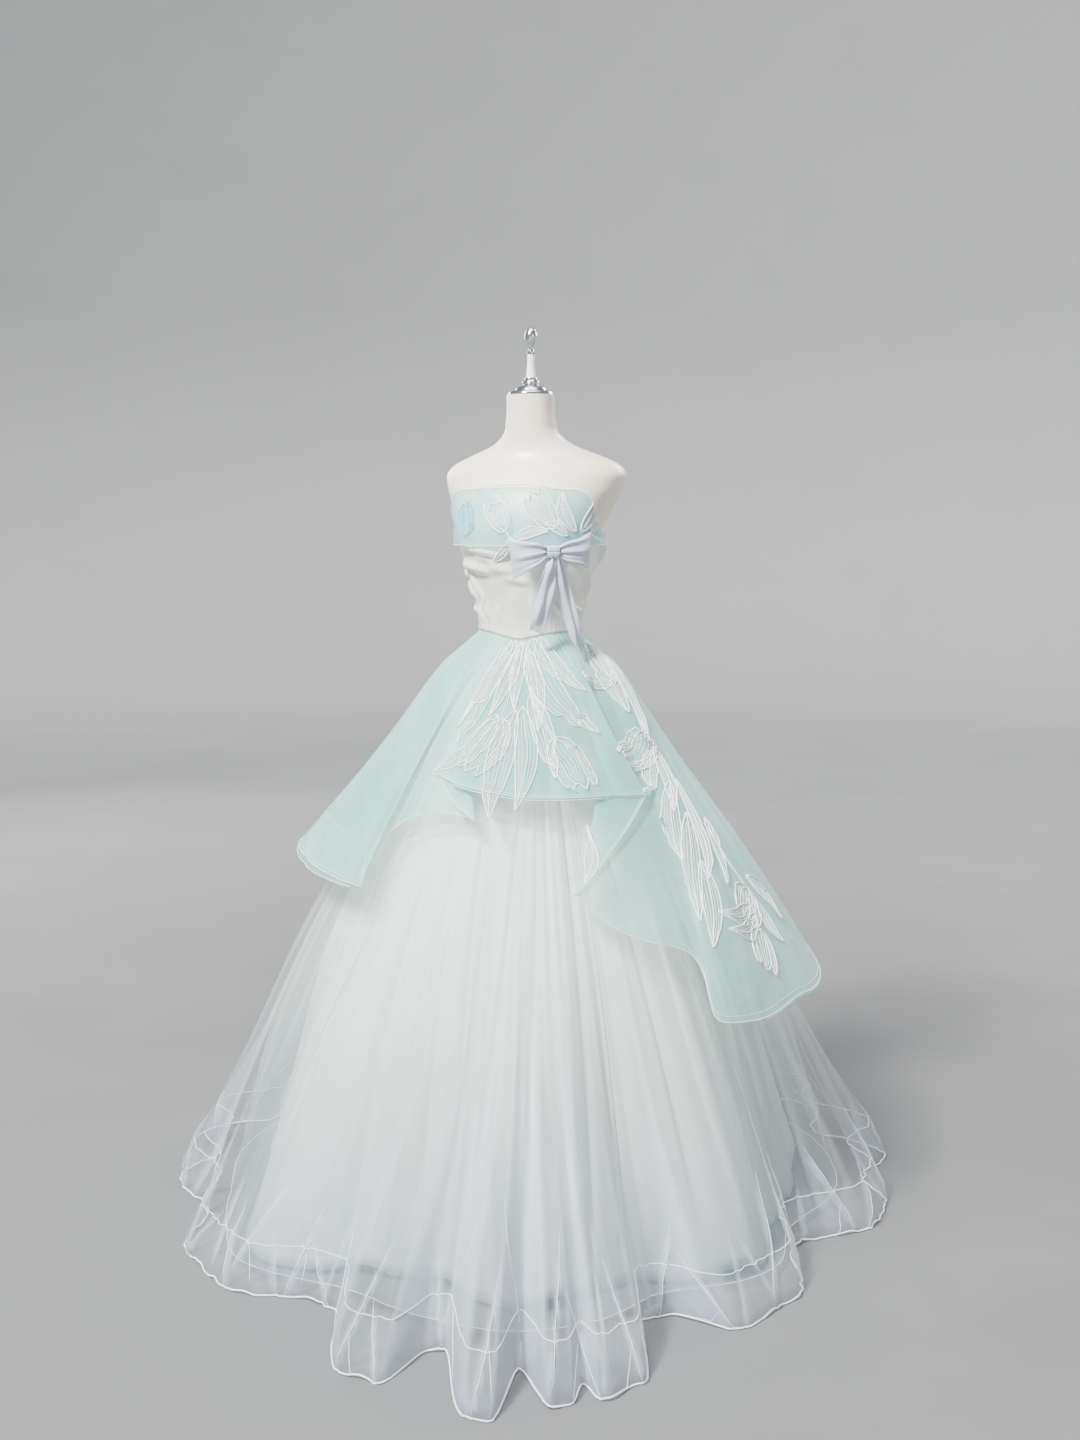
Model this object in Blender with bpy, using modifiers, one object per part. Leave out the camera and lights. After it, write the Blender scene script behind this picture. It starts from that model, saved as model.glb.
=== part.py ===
"""Strapless ball gown on a limbless dress form.

Metres, +Z up. The origin is on the floor at the pole, at the centre of the stand's
underside. The front of the gown faces -Y and the wearer's left is +X. Angles run from
the centre front towards the wearer's left. Every cloth piece is an open sheet through
worked-out sections, thickened to a wall, and every seam is a gap of SEAM_GAP.
"""

from math import atan2, cos, degrees, exp, pi, radians, sin

import bmesh
import bpy
import numpy as np
from mathutils import Matrix, Vector

# Gaps and wall thicknesses
SEAM_GAP = 0.0003
LINING_SEAM_GAP = 0.0008
SATIN_WALL = 0.0020
BAND_WALL = 0.0018
ORGANZA_WALL = 0.0012
TULLE_WALL = 0.0010
LINING_WALL = 0.0012
RIBBON_WALL = 0.0014

# Dress form and stand
WAIST_HEIGHT = 1.150
NECK_TOP = 1.621
NECK_RADIUS = 0.048
FORM_BOTTOM = 0.930
POLE_RADIUS = 0.0125
BASE_RADIUS = 0.170
BASE_THICKNESS = 0.014
BASE_EDGE = 0.003
FORM_SEGMENTS = 32

# Bodice
WAIST_EASE = 0.0008
BODICE_EASE = 0.0028
EASE_RISE = 0.06
WAIST_DIP = 0.015
WAIST_DIP_SPREAD = 34.0
NECKLINE_FRONT = 1.434
NECKLINE_BACK = 1.340
NECKLINE_DIP = 0.034
NECKLINE_DIP_SPREAD = 15.0
UNDERARM_FROM = 58.0
UNDERARM_TO = 88.0
NECK_EASE = 0.003
NECK_EASE_FROM = 1.35
NECK_EASE_TO = 1.43
PRINCESS_ANGLE = 45.0
PRINCESS_LEAN = 11.0
PRINCESS_SPREAD = 30.0
PRINCESS_TOP = 1.30
BODICE_ROWS = 10
BODICE_STEP = 8.0
BUST_HEIGHT = 1.325
BUST_ANGLE = 33.0
BUST_RISE = 0.010
BUST_SPREAD = 22.0
BUST_TALL = 0.060

# Fold-over band round the top of the bodice
BAND_TOP_FRONT = 1.441
BAND_TOP_BACK = 1.348
BAND_BOTTOM_FRONT = 1.322
BAND_BOTTOM_BACK = 1.262
BAND_SHOULDER_DROP = 0.010
BAND_BACK_FROM = 88.0
BAND_BACK_TO = 125.0
BAND_GAP = 0.0007
BAND_ROWS = (0.0, 0.30, 0.58, 0.82, 1.0)
BAND_SEAM_GAP = 0.0005
BAND_STAND_OFF = 0.008
BAND_WAVE = 0.0025

# Skirt layers: how far inside the outermost skirt line each one starts, and how far
# below the waist seam its top edge is caught
LAYER_PITCH = 0.0016
LAYER_DROP = 0.0035
TULLE_INSET_TOP = 0.009
TULLE_INSET_LOW = 0.005
UNDER_INSET_TOP = 0.016
UNDER_INSET_LOW = 0.009
LINING_INSET = 0.042
UNDER_HEM_UP = 0.018
LINING_HEM_UP = 0.014
FLUTE_STEP = 11.5
FLUTE_CLEAR = 2.5
FLOOR_GAP = 0.0005
WAVE_FADE = 0.262
ROUND_BY = 0.42

# Bow: its frame is along the body, out from the body and up, from the middle of the knot
BOW_ANGLE = 33.0
BOW_HEIGHT = 1.3105
BOW_STAND = 0.1613
KNOT_SIZE = (0.026, 0.018, 0.024)
KNOT_EDGE = 0.006
LOOP_PINCH = 0.0095
LOOP_PLEAT = 0.0010
LOOP_BACK = -0.0065
LOOP_CURL = 0.012

# Loops: side, length, half height, droop, slant of the outer end
LOOP_RIGHT = (-1, 0.070, 0.034, -0.018, 0.18)
LOOP_LEFT = (1, 0.066, 0.031, 0.000, 0.06)

# One loop's ribbon, out along the front and back behind: share of the length, depth
LOOP_PATH = np.array([
    (0.00, 0.0064),
    (0.20, 0.0098),
    (0.46, 0.0122),
    (0.74, 0.0118),
    (0.93, 0.0088),
    (1.00, 0.0052),
    (0.93, 0.0016),
    (0.72, 0.0000),
    (0.40, 0.0000),
    (0.00, 0.0012),
])

# Ribbon tails, one wide and one folded lengthwise: height, along, out, half width
TAIL_WIDE = np.array([
    (-0.0124, -0.001, -0.0010, 0.0070),
    (-0.0330, -0.004, 0.0000, 0.0120),
    (-0.0620, -0.010, -0.0040, 0.0160),
    (-0.0950, -0.016, -0.0095, 0.0170),
    (-0.1270, -0.021, -0.0145, 0.0165),
    (-0.1570, -0.025, -0.0185, 0.0165),
])
TAIL_FOLDED = np.array([
    (-0.0124, 0.010, -0.0040, 0.0030),
    (-0.0450, 0.018, -0.0075, 0.0090),
    (-0.0900, 0.031, -0.0125, 0.0110),
    (-0.1400, 0.046, -0.0195, 0.0110),
    (-0.1750, 0.057, -0.0255, 0.0085),
    (-0.1990, 0.065, -0.0300, 0.0025),
])

# Torso sections: height, half width, front depth, back depth, widest point behind the pole
TORSO = np.array([
    (0.930, 0.142, 0.104, 0.106, 0.000),
    (1.000, 0.134, 0.100, 0.100, 0.000),
    (1.080, 0.114, 0.086, 0.082, 0.000),
    (1.150, 0.104, 0.080, 0.072, 0.000),
    (1.210, 0.109, 0.089, 0.076, 0.000),
    (1.270, 0.124, 0.105, 0.086, 0.000),
    (1.330, 0.142, 0.121, 0.096, 0.001),
    (1.360, 0.149, 0.127, 0.095, 0.006),
    (1.400, 0.167, 0.131, 0.086, 0.020),
    (1.442, 0.185, 0.127, 0.072, 0.035),
    (1.466, 0.187, 0.117, 0.062, 0.040),
    (1.483, 0.172, 0.105, 0.055, 0.040),
    (1.500, 0.136, 0.091, 0.049, 0.035),
    (1.519, 0.088, 0.074, 0.047, 0.023),
    (1.542, 0.058, 0.058, 0.047, 0.009),
    (1.570, 0.050, 0.049, 0.049, 0.001),
    (1.621, 0.048, 0.048, 0.048, 0.000),
])
SECTION_POWER = 2.2
SIDE_CROWD = 1.35

# Outermost skirt line, below the waist: height, radius at the side
SKIRT_LINE = np.array([
    (1.150, 0.1063),
    (1.147, 0.1078),
    (1.140, 0.1132),
    (1.126, 0.1245),
    (1.100, 0.1440),
    (1.050, 0.1770),
    (0.960, 0.2310),
    (0.840, 0.3050),
    (0.726, 0.3780),
    (0.618, 0.4400),
    (0.457, 0.5220),
    (0.250, 0.6060),
    (0.100, 0.6610),
    (0.000, 0.7000),
])

# Folds of the sheer skirt: angle, radius at the hem, and 1 for a crest or -1 for a valley
HEM_FOLDS = np.array([
    (-180.0, 0.715, -1.0),
    (-168.0, 0.800, 1.0),
    (-155.0, 0.700, -1.0),
    (-142.0, 0.810, 1.0),
    (-129.0, 0.695, -1.0),
    (-116.0, 0.785, 1.0),
    (-103.0, 0.690, -1.0),
    (-92.0, 0.780, 1.0),
    (-82.0, 0.690, -1.0),
    (-71.0, 0.740, 1.0),
    (-54.0, 0.684, -1.0),
    (-38.0, 0.780, 1.0),
    (-24.0, 0.806, 1.0),
    (-14.0, 0.753, -1.0),
    (-9.5, 0.760, -1.0),
    (0.0, 0.974, 1.0),
    (3.6, 0.986, 1.0),
    (6.3, 0.860, -1.0),
    (8.0, 0.855, -1.0),
    (12.8, 1.078, 1.0),
    (14.6, 1.084, 1.0),
    (16.7, 0.910, -1.0),
    (19.8, 1.040, 1.0),
    (21.4, 1.032, 1.0),
    (23.0, 0.962, -1.0),
    (24.4, 1.020, 1.0),
    (28.4, 0.976, 1.0),
    (33.2, 0.746, -1.0),
    (36.5, 0.742, -1.0),
    (43.6, 0.838, 1.0),
    (53.0, 0.796, 1.0),
    (70.0, 0.642, -1.0),
    (87.0, 0.740, 1.0),
    (95.0, 0.741, 1.0),
    (105.0, 0.695, -1.0),
    (117.0, 0.780, 1.0),
    (130.0, 0.695, -1.0),
    (142.0, 0.795, 1.0),
    (155.0, 0.700, -1.0),
    (168.0, 0.800, 1.0),
    (180.0, 0.715, -1.0),
    (192.0, 0.800, 1.0),
])
FLUTE = 0.006
STEEP_FOLD = 0.12

# Hem of the second sheer layer: angle, radius
UNDER_HEM = np.array([
    (-180.0, 0.650),
    (-120.0, 0.650),
    (-85.0, 0.640),
    (-60.0, 0.632),
    (-44.0, 0.676),
    (-28.6, 0.738),
    (-20.0, 0.724),
    (-9.0, 0.712),
    (4.0, 0.768),
    (18.0, 0.800),
    (28.0, 0.758),
    (37.0, 0.690),
    (44.0, 0.692),
    (52.0, 0.706),
    (60.0, 0.690),
    (66.0, 0.650),
    (71.0, 0.616),
    (78.0, 0.608),
    (90.0, 0.632),
    (120.0, 0.648),
    (180.0, 0.650),
])

# Lining hem with its broad flutes: angle, radius
LINING_HEM = np.array([
    (-198.0, 0.615),
    (-180.0, 0.565),
    (-162.0, 0.615),
    (-145.0, 0.560),
    (-127.0, 0.615),
    (-110.0, 0.560),
    (-92.0, 0.605),
    (-76.0, 0.558),
    (-60.0, 0.552),
    (-44.0, 0.622),
    (-28.6, 0.698),
    (-22.0, 0.672),
    (-14.0, 0.632),
    (-7.0, 0.610),
    (-0.5, 0.596),
    (5.0, 0.632),
    (10.0, 0.666),
    (16.4, 0.698),
    (22.3, 0.680),
    (29.3, 0.632),
    (37.0, 0.604),
    (43.8, 0.640),
    (52.0, 0.668),
    (60.0, 0.652),
    (66.0, 0.610),
    (72.0, 0.574),
    (84.0, 0.556),
    (97.0, 0.552),
    (110.0, 0.560),
    (127.0, 0.612),
    (145.0, 0.560),
    (162.0, 0.615),
    (180.0, 0.565),
    (198.0, 0.615),
])
LINING_MEAN = 0.600
LINING_FLUTE_FROM = 0.50

# The overskirt, in order round the cloth: angle at the waist, angle at the hem, length
# down the slope, fold level (0 is the top layer, -2 the bottom of a fold), flare at hem
OVERSKIRT = np.array([
    (-180.0, -180.0, 0.600, 0.0, 0.018),
    (-176.0, -176.4, 0.602, 0.0, 0.019),
    (-168.0, -169.0, 0.620, 0.0, 0.050),
    (-156.0, -157.0, 0.600, 0.0, 0.016),
    (-144.0, -145.0, 0.595, 0.0, 0.050),
    (-132.0, -132.0, 0.575, 0.0, 0.018),
    (-120.0, -119.0, 0.565, 0.0, 0.060),
    (-107.0, -105.0, 0.545, 0.0, 0.040),
    (-94.0, -91.0, 0.535, 0.0, 0.066),
    (-80.0, -76.0, 0.530, 0.0, 0.062),
    (-65.0, -60.0, 0.540, 0.0, 0.040),
    (-50.0, -44.0, 0.548, 0.0, 0.030),
    (-38.0, -31.5, 0.554, 0.0, 0.026),
    (-36.3, -28.9, 0.556, -0.1, 0.024),
    (-35.1, -28.3, 0.556, -0.35, 0.024),
    (-33.9, -28.9, 0.553, -0.6, 0.022),
    (-32.4, -32.0, 0.530, -0.85, 0.018),
    (-30.8, -34.9, 0.497, -1.1, 0.013),
    (-29.6, -35.0, 0.495, -1.5, 0.013),
    (-28.1, -33.0, 0.470, -1.75, 0.011),
    (-26.4, -27.0, 0.424, -1.95, 0.010),
    (-24.8, -16.0, 0.396, -2.05, 0.008),
    (-22.8, -5.0, 0.400, -2.0, 0.006),
    (-21.6, -1.3, 0.404, -1.85, 0.006),
    (-20.4, -0.5, 0.405, -1.6, 0.006),
    (-19.2, -1.6, 0.402, -1.35, 0.006),
    (-17.4, -9.0, 0.372, -1.05, 0.006),
    (-15.6, -18.0, 0.325, -0.78, 0.006),
    (-14.4, -21.0, 0.311, -0.53, 0.006),
    (-13.2, -21.7, 0.309, -0.25, 0.006),
    (-12.0, -20.6, 0.311, -0.02, 0.006),
    (-7.0, -11.0, 0.327, 0.0, 0.008),
    (2.0, 1.0, 0.340, 0.0, 0.012),
    (14.0, 14.5, 0.352, 0.0, 0.006),
    (27.0, 29.0, 0.354, 0.0, 0.010),
    (39.0, 43.0, 0.354, 0.0, 0.006),
    (49.0, 54.5, 0.357, 0.0, 0.008),
    (51.8, 59.4, 0.360, -0.1, 0.010),
    (53.0, 60.3, 0.362, -0.35, 0.010),
    (54.2, 59.4, 0.367, -0.6, 0.010),
    (56.0, 52.0, 0.405, -0.85, 0.011),
    (58.0, 40.0, 0.475, -1.1, 0.013),
    (59.2, 32.5, 0.530, -1.3, 0.016),
    (60.7, 29.0, 0.548, -1.5, 0.016),
    (62.0, 28.9, 0.550, -1.9, 0.016),
    (63.5, 31.0, 0.568, -2.08, 0.017),
    (65.7, 37.0, 0.616, -2.15, 0.018),
    (68.5, 45.0, 0.650, -2.1, 0.020),
    (71.0, 51.5, 0.667, -2.0, 0.020),
    (72.8, 55.0, 0.682, -1.8, 0.021),
    (74.0, 56.2, 0.705, -1.5, 0.023),
    (75.2, 56.0, 0.735, -1.15, 0.026),
    (76.4, 54.9, 0.770, -0.8, 0.030),
    (77.8, 54.6, 0.800, -0.4, 0.034),
    (79.5, 57.0, 0.812, -0.05, 0.040),
    (86.0, 66.0, 0.816, 0.0, 0.046),
    (97.0, 80.0, 0.812, 0.0, 0.034),
    (109.0, 94.0, 0.812, 0.0, 0.048),
    (121.0, 109.0, 0.790, 0.0, 0.046),
    (134.0, 125.0, 0.735, 0.0, 0.018),
    (146.0, 139.0, 0.680, 0.0, 0.050),
    (157.0, 152.0, 0.640, 0.0, 0.016),
    (168.0, 166.0, 0.625, 0.0, 0.050),
    (176.0, 176.4, 0.602, 0.0, 0.019),
    (180.0, 180.0, 0.600, 0.0, 0.018),
])
FOLD_STEP = 0.009
FOLD_START = 0.10
STAND_OFF = 0.018
STAND_BY = 0.10
OVERSKIRT_TOP = 0.0008
COLUMN_ANGLE = 6.5
FOLD_ROWS = (0.0, 0.10, 0.22, 0.36, 0.52, 0.68, 0.84, 1.0)
UNDER_PITCH = 0.0026

# Seams, as angles at the waist
BODICE_SEAMS = (-180.0, -140.0, -92.0, -45.0, 45.0, 92.0, 140.0, 180.0)
BODICE_NAMES = ("back_right", "side_back_right", "side_front_right", "front",
                "side_front_left", "side_back_left", "back_left")
BAND_SEAMS = (-180.0, -92.0, 92.0, 180.0)
BAND_NAMES = ("back_right", "front", "back_left")
OVERSKIRT_SEAMS = (-180.0, -94.0, 97.0, 180.0)
UNDER_PANELS = (("right", -180.0, -38.0), ("front", -7.0, 39.0), ("left", 86.0, 180.0))
SKIRT_SEAMS = (-174.0, -135.5, -97.5, -62.5, -31.0, -4.8, 30.8, 61.5, 100.0, 136.0, 186.0)
LINING_SEAMS = (-180.0, -108.0, -36.0, 36.0, 108.0, 180.0)


def remove_everything():
    for old in list(bpy.data.objects):
        bpy.data.objects.remove(old, do_unlink=True)


def new_collection(name):
    collection = bpy.data.collections.new(name)
    bpy.context.scene.collection.children.link(collection)
    return collection


def material(name, color, roughness, metallic=0.0, alpha=1.0):
    made = bpy.data.materials.new(name)
    made.use_nodes = True
    shader = made.node_tree.nodes["Principled BSDF"]
    shader.inputs["Base Color"].default_value = (*color, 1.0)
    shader.inputs["Roughness"].default_value = roughness
    shader.inputs["Metallic"].default_value = metallic
    shader.inputs["Alpha"].default_value = alpha
    return made


def add_object(name, mesh, finish, collection):
    mesh.materials.append(finish)
    obj = bpy.data.objects.new(name, mesh)
    collection.objects.link(obj)
    return obj


def move_to(obj, collection):
    for holder in list(obj.users_collection):
        holder.objects.unlink(obj)
    collection.objects.link(obj)


def curve_through(x, xs, ys):
    """A smooth curve through the rows of a table, read at x."""
    slopes = np.gradient(ys, xs)
    x = np.clip(x, xs[0], xs[-1])
    i = np.clip(np.searchsorted(xs, x, side="right") - 1, 0, len(xs) - 2)
    width = xs[i + 1] - xs[i]
    t = (x - xs[i]) / width
    start = ys[i] * (1 + 2 * t) * (1 - t) ** 2 + slopes[i] * width * t * (1 - t) ** 2
    end = ys[i + 1] * t * t * (3 - 2 * t) + slopes[i + 1] * width * t * t * (t - 1)
    return start + end


def wave_through(x, xs, ys):
    """Crest to valley and back: flat at every row of a table, with a cosine between."""
    i = int(np.clip(np.searchsorted(xs, x, side="right") - 1, 0, len(xs) - 2))
    t = (x - xs[i]) / (xs[i + 1] - xs[i])
    return ys[i] + (ys[i + 1] - ys[i]) * (1 - cos(pi * t)) / 2


def ease(value, low, high):
    """0 below low, 1 above high, smooth between."""
    t = min(max((value - low) / (high - low), 0.0), 1.0)
    return t * t * (3 - 2 * t)


def mix(first, second, share):
    return first + (second - first) * share


def bell(value, spread):
    return exp(-((value / spread) ** 2))


def torso_point(angle, height, outward):
    """A point that far out from the form's surface, in a section about its widest point."""
    width, front, back, behind = (
        float(curve_through(height, TORSO[:, 0], TORSO[:, k])) for k in range(1, 5))
    depth = front if cos(radians(angle)) > 0 else back
    across = abs(sin(radians(angle)) / width) ** SECTION_POWER
    along = abs(cos(radians(angle)) / depth) ** SECTION_POWER
    bust = BUST_RISE * bell(height - BUST_HEIGHT, BUST_TALL)
    bust *= bell(abs(angle) - BUST_ANGLE, BUST_SPREAD)
    radius = (across + along) ** (-1 / SECTION_POWER) + bust + outward
    return at(angle, radius, height) + Vector((0.0, behind, 0.0))


def at(angle, radius, height):
    turn = radians(angle)
    return Vector((radius * sin(turn), -radius * cos(turn), height))


def waist_height(angle):
    return WAIST_HEIGHT - WAIST_DIP * bell(angle, WAIST_DIP_SPREAD)


def sheet(name, point, columns, rows, wall, finish, collection, gap=SEAM_GAP):
    """A cloth piece: the open surface point(column, row), thickened half to each side.
    Its two long edges are drawn back by half the gap at a seam."""
    grid = [[point(column, row) for row in rows] for column in columns]
    for edge, beside in ((grid[0], grid[1]), (grid[-1], grid[-2])):
        for k, place in enumerate(edge):
            edge[k] = place + (beside[k] - place).normalized() * gap / 2
    bm = bmesh.new()
    grid = [[bm.verts.new(place) for place in line] for line in grid]
    for left, right in zip(grid, grid[1:]):
        for k in range(len(rows) - 1):
            bm.faces.new((left[k], left[k + 1], right[k + 1], right[k]))
    mesh = bpy.data.meshes.new(name)
    bm.to_mesh(mesh)
    bm.free()
    mesh.shade_smooth()
    obj = add_object(name, mesh, finish, collection)
    solid = obj.modifiers.new("Wall", "SOLIDIFY")
    solid.thickness = wall
    solid.offset = 0.0
    return obj


# Dress form and stand

def turn_columns(low, high, count):
    """Angles between two seams, closer together at the sides, where the torso turns fastest."""
    ends = [degrees(atan2(sin(radians(a)), SIDE_CROWD * cos(radians(a)))) for a in (low, high)]
    spaced = np.radians(np.linspace(*ends, count + 1)[1:-1])
    return [low, *(degrees(atan2(SIDE_CROWD * sin(a), cos(a))) for a in spaced), high]


def build_form(finish, collection):
    heights = [row[0] for row in TORSO]
    heights += [1.115, 1.135, 1.180, 1.240, 1.300, 1.345, 1.420]
    heights.sort()
    bm = bmesh.new()
    rings = []
    for height in heights:
        angles = turn_columns(-180.0, 180.0, FORM_SEGMENTS)[:-1]
        rings.append([bm.verts.new(torso_point(angle, height, 0.0)) for angle in angles])
    for low, high in zip(rings, rings[1:]):
        for k in range(FORM_SEGMENTS):
            after = (k + 1) % FORM_SEGMENTS
            bm.faces.new((low[k], low[after], high[after], high[k]))
    bm.faces.new(reversed(rings[0]))
    bm.faces.new(rings[-1])
    mesh = bpy.data.meshes.new("form_body")
    bm.to_mesh(mesh)
    bm.free()
    mesh.shade_smooth()
    mesh.set_sharp_from_angle(angle=radians(50))
    return add_object("form_body", mesh, finish, collection)


def turned(name, profile, segments, finish, collection):
    """A turned piece: profile rows of radius and height, from the top down its outer side."""
    bm = bmesh.new()
    points = [bm.verts.new((radius, 0.0, height)) for radius, height in profile]
    for upper, lower in zip(points, points[1:]):
        bm.edges.new((upper, lower))
    mesh = bpy.data.meshes.new(name)
    bm.to_mesh(mesh)
    bm.free()
    obj = add_object(name, mesh, finish, collection)
    screw = obj.modifiers.new("Turn", "SCREW")
    screw.steps = segments
    screw.render_steps = segments
    screw.use_merge_vertices = True
    screw.merge_threshold = 0.00005
    screw.use_smooth_shade = True
    return obj


def build_neck_fittings(chrome, white, collection):
    cap = NECK_TOP + SEAM_GAP
    turned("neck_cap", [
        (0.0, cap + 0.0235), (0.0115, cap + 0.0235), (0.0125, cap + 0.0225), (0.0125, cap + 0.018),
        (0.0200, cap + 0.0160), (0.0300, cap + 0.0120), (0.0330, cap + 0.0080),
        (0.0440, cap + 0.0055), (0.0455, cap + 0.0035), (0.0455, cap), (0.0, cap),
    ], 20, chrome, collection)
    spindle = cap + 0.0235 + SEAM_GAP
    turned("neck_spindle", [
        (0.0, spindle + 0.057), (0.0065, spindle + 0.057), (0.0075, spindle + 0.054),
        (0.0078, spindle + 0.035), (0.0098, spindle + 0.012), (0.0108, spindle + 0.002),
        (0.0104, spindle), (0.0, spindle),
    ], 14, white, collection)
    knob = spindle + 0.057 + SEAM_GAP
    turned("finial_knob", [
        (0.0, knob + 0.052), (0.0045, knob + 0.0510), (0.0090, knob + 0.0470),
        (0.0125, knob + 0.0395), (0.0130, knob + 0.0320), (0.0110, knob + 0.0240),
        (0.0070, knob + 0.0170), (0.0052, knob + 0.0110), (0.0062, knob + 0.0050),
        (0.0085, knob + 0.0035), (0.0085, knob), (0.0, knob),
    ], 14, chrome, collection)


def build_stand(chrome, collection):
    turned("stand_base", [
        (0.0, BASE_THICKNESS), (0.030, BASE_THICKNESS), (0.120, 0.011),
        (BASE_RADIUS - BASE_EDGE, 0.008), (BASE_RADIUS, 0.008 - BASE_EDGE),
        (BASE_RADIUS, 0.001), (BASE_RADIUS - 0.001, 0.0), (0.0, 0.0),
    ], 24, chrome, collection)
    low = BASE_THICKNESS + SEAM_GAP
    high = FORM_BOTTOM - SEAM_GAP
    bpy.ops.mesh.primitive_cylinder_add(
        vertices=16, radius=POLE_RADIUS, depth=high - low, location=(0, 0, (low + high) / 2))
    pole = bpy.context.active_object
    pole.name = "stand_pole"
    pole.data.name = "stand_pole"
    pole.data.shade_smooth()
    pole.data.set_sharp_from_angle(angle=radians(50))
    pole.data.materials.append(chrome)
    move_to(pole, collection)


# Bodice and band

def neckline(angle):
    """Height of the satin's top edge: a dip at the centre front, low under the arms."""
    front = NECKLINE_FRONT - NECKLINE_DIP * bell(angle - 2.0, NECKLINE_DIP_SPREAD)
    return mix(front, NECKLINE_BACK, ease(abs(angle), UNDERARM_FROM, UNDERARM_TO))


def bodice_place(angle, height, outward=0.0):
    """Middle of the satin wall, close on the form and a little free above the bust."""
    free = mix(WAIST_EASE, BODICE_EASE, ease(height, WAIST_HEIGHT, WAIST_HEIGHT + EASE_RISE))
    free += NECK_EASE * ease(height, NECK_EASE_FROM, NECK_EASE_TO)
    return torso_point(angle, height, free + SATIN_WALL / 2 + outward)


def seam_angle(angle, height):
    """Princess seams lean towards the centre front as they rise."""
    lean = PRINCESS_LEAN / PRINCESS_ANGLE * ease(height, WAIST_HEIGHT, PRINCESS_TOP)
    return angle * (1 - lean * bell(abs(angle) - PRINCESS_ANGLE, PRINCESS_SPREAD))


def bodice_point(angle, share):
    low = waist_height(angle) + SEAM_GAP / 2
    height = mix(low, neckline(angle), share)
    return bodice_place(seam_angle(angle, height), height)


def bodice_columns(low, high):
    columns = []
    for start, end in zip(BODICE_SEAMS, BODICE_SEAMS[1:]):
        if low <= start and end <= high:
            columns += turn_columns(start, end, round((end - start) / BODICE_STEP))[:-1]
    return columns + [high]


def build_bodice(finish, collection):
    rows = np.linspace(0.0, 1.0, BODICE_ROWS + 1)
    for name, low, high in zip(BODICE_NAMES, BODICE_SEAMS, BODICE_SEAMS[1:]):
        sheet("bodice_" + name, bodice_point, bodice_columns(low, high), rows, SATIN_WALL,
              finish, collection)


def band_point(angle, share):
    """The band hangs from its top edge and stands off the satin towards its free edge."""
    under = ease(abs(angle), UNDERARM_FROM, UNDERARM_TO)
    front = BAND_TOP_FRONT - BAND_SHOULDER_DROP * ease(abs(angle), 10.0, 55.0)
    top = mix(front, BAND_TOP_BACK, under)
    behind = ease(abs(angle), BAND_BACK_FROM, BAND_BACK_TO)
    bottom = mix(BAND_BOTTOM_FRONT, BAND_BOTTOM_BACK, behind)
    height = mix(bottom, top, share)
    off = SATIN_WALL / 2 + BAND_WALL / 2 + BAND_GAP + BAND_STAND_OFF * (1 - share) ** 1.4
    off += BAND_WAVE * (1 - share) * (1 + sin(radians(angle * 5.0 + 40.0)))
    return bodice_place(seam_angle(angle, height), height, off)


def build_band(finish, collection):
    for name, low, high in zip(BAND_NAMES, BAND_SEAMS, BAND_SEAMS[1:]):
        sheet("band_" + name, band_point, bodice_columns(low, high), BAND_ROWS, BAND_WALL,
              finish, collection, BAND_SEAM_GAP)


# Skirt layers, all worked out from one line down the side

def measured_line():
    """The skirt line as distance down the slope, radius and height."""
    heights = np.linspace(SKIRT_LINE[0, 0], SKIRT_LINE[-1, 0], 400)
    radii = curve_through(-heights, -SKIRT_LINE[:, 0], SKIRT_LINE[:, 1])
    steps = np.hypot(np.diff(heights), np.diff(radii))
    return np.concatenate([[0.0], np.cumsum(steps)]), radii, heights


SLOPE, LINE_RADIUS, LINE_HEIGHT = measured_line()
SLOPE_LENGTH = float(SLOPE[-1])


def waist_ring(angle):
    return torso_point(angle, waist_height(angle), WAIST_EASE + SATIN_WALL / 2).xy.length


def squareness(down):
    """Distance square to the slope for each unit moved level."""
    near, far = np.interp((down - 0.004, down + 0.004), SLOPE, LINE_HEIGHT)
    return min(max(float(near - far) / 0.008, 0.5), 1.0)


def skirt_point(angle, down, outward, reach=0.0):
    """A point down the skirt line, moved level so that it lies outward of it by that
    distance measured square to the slope, then spread by reach."""
    radius = float(np.interp(down, SLOPE, LINE_RADIUS))
    height = float(np.interp(down, SLOPE, LINE_HEIGHT))
    flat = (LINE_RADIUS[0] - waist_ring(angle)) * (1 - ease(down, 0.0, ROUND_BY))
    dip = (WAIST_HEIGHT - waist_height(angle)) * (1 - ease(down, 0.0, 0.20))
    return at(angle, radius - flat + outward / squareness(down) + reach, height - dip)


def hem_reach(down, hem_radius, inward):
    """How far a layer spreads from the plain skirt line to meet its radius at the hem."""
    full = hem_radius - (LINE_RADIUS[-1] - inward / squareness(SLOPE_LENGTH - 0.01))
    left = exp(-(((SLOPE_LENGTH - down) / WAVE_FADE) ** 2))
    return full * left * ease(down, 0.0, SLOPE_LENGTH * 0.6)


def tulle_columns(low, high):
    """Columns between two seams: one step on a flat fold, three on a steep one."""
    angles, radii = HEM_FOLDS[:, 0], HEM_FOLDS[:, 1]
    marks = [low] + [a for a in angles if low + 0.5 < a < high - 0.5] + [high]
    columns = []
    for start, end in zip(marks, marks[1:]):
        rise = abs(wave_through(end, angles, radii) - wave_through(start, angles, radii))
        steps = 3 if rise > STEEP_FOLD else 2 if end - start > 5.5 or rise > 0.05 else 1
        columns += list(np.linspace(start, end, steps + 1)[:-1])
    return columns + [high]


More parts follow.
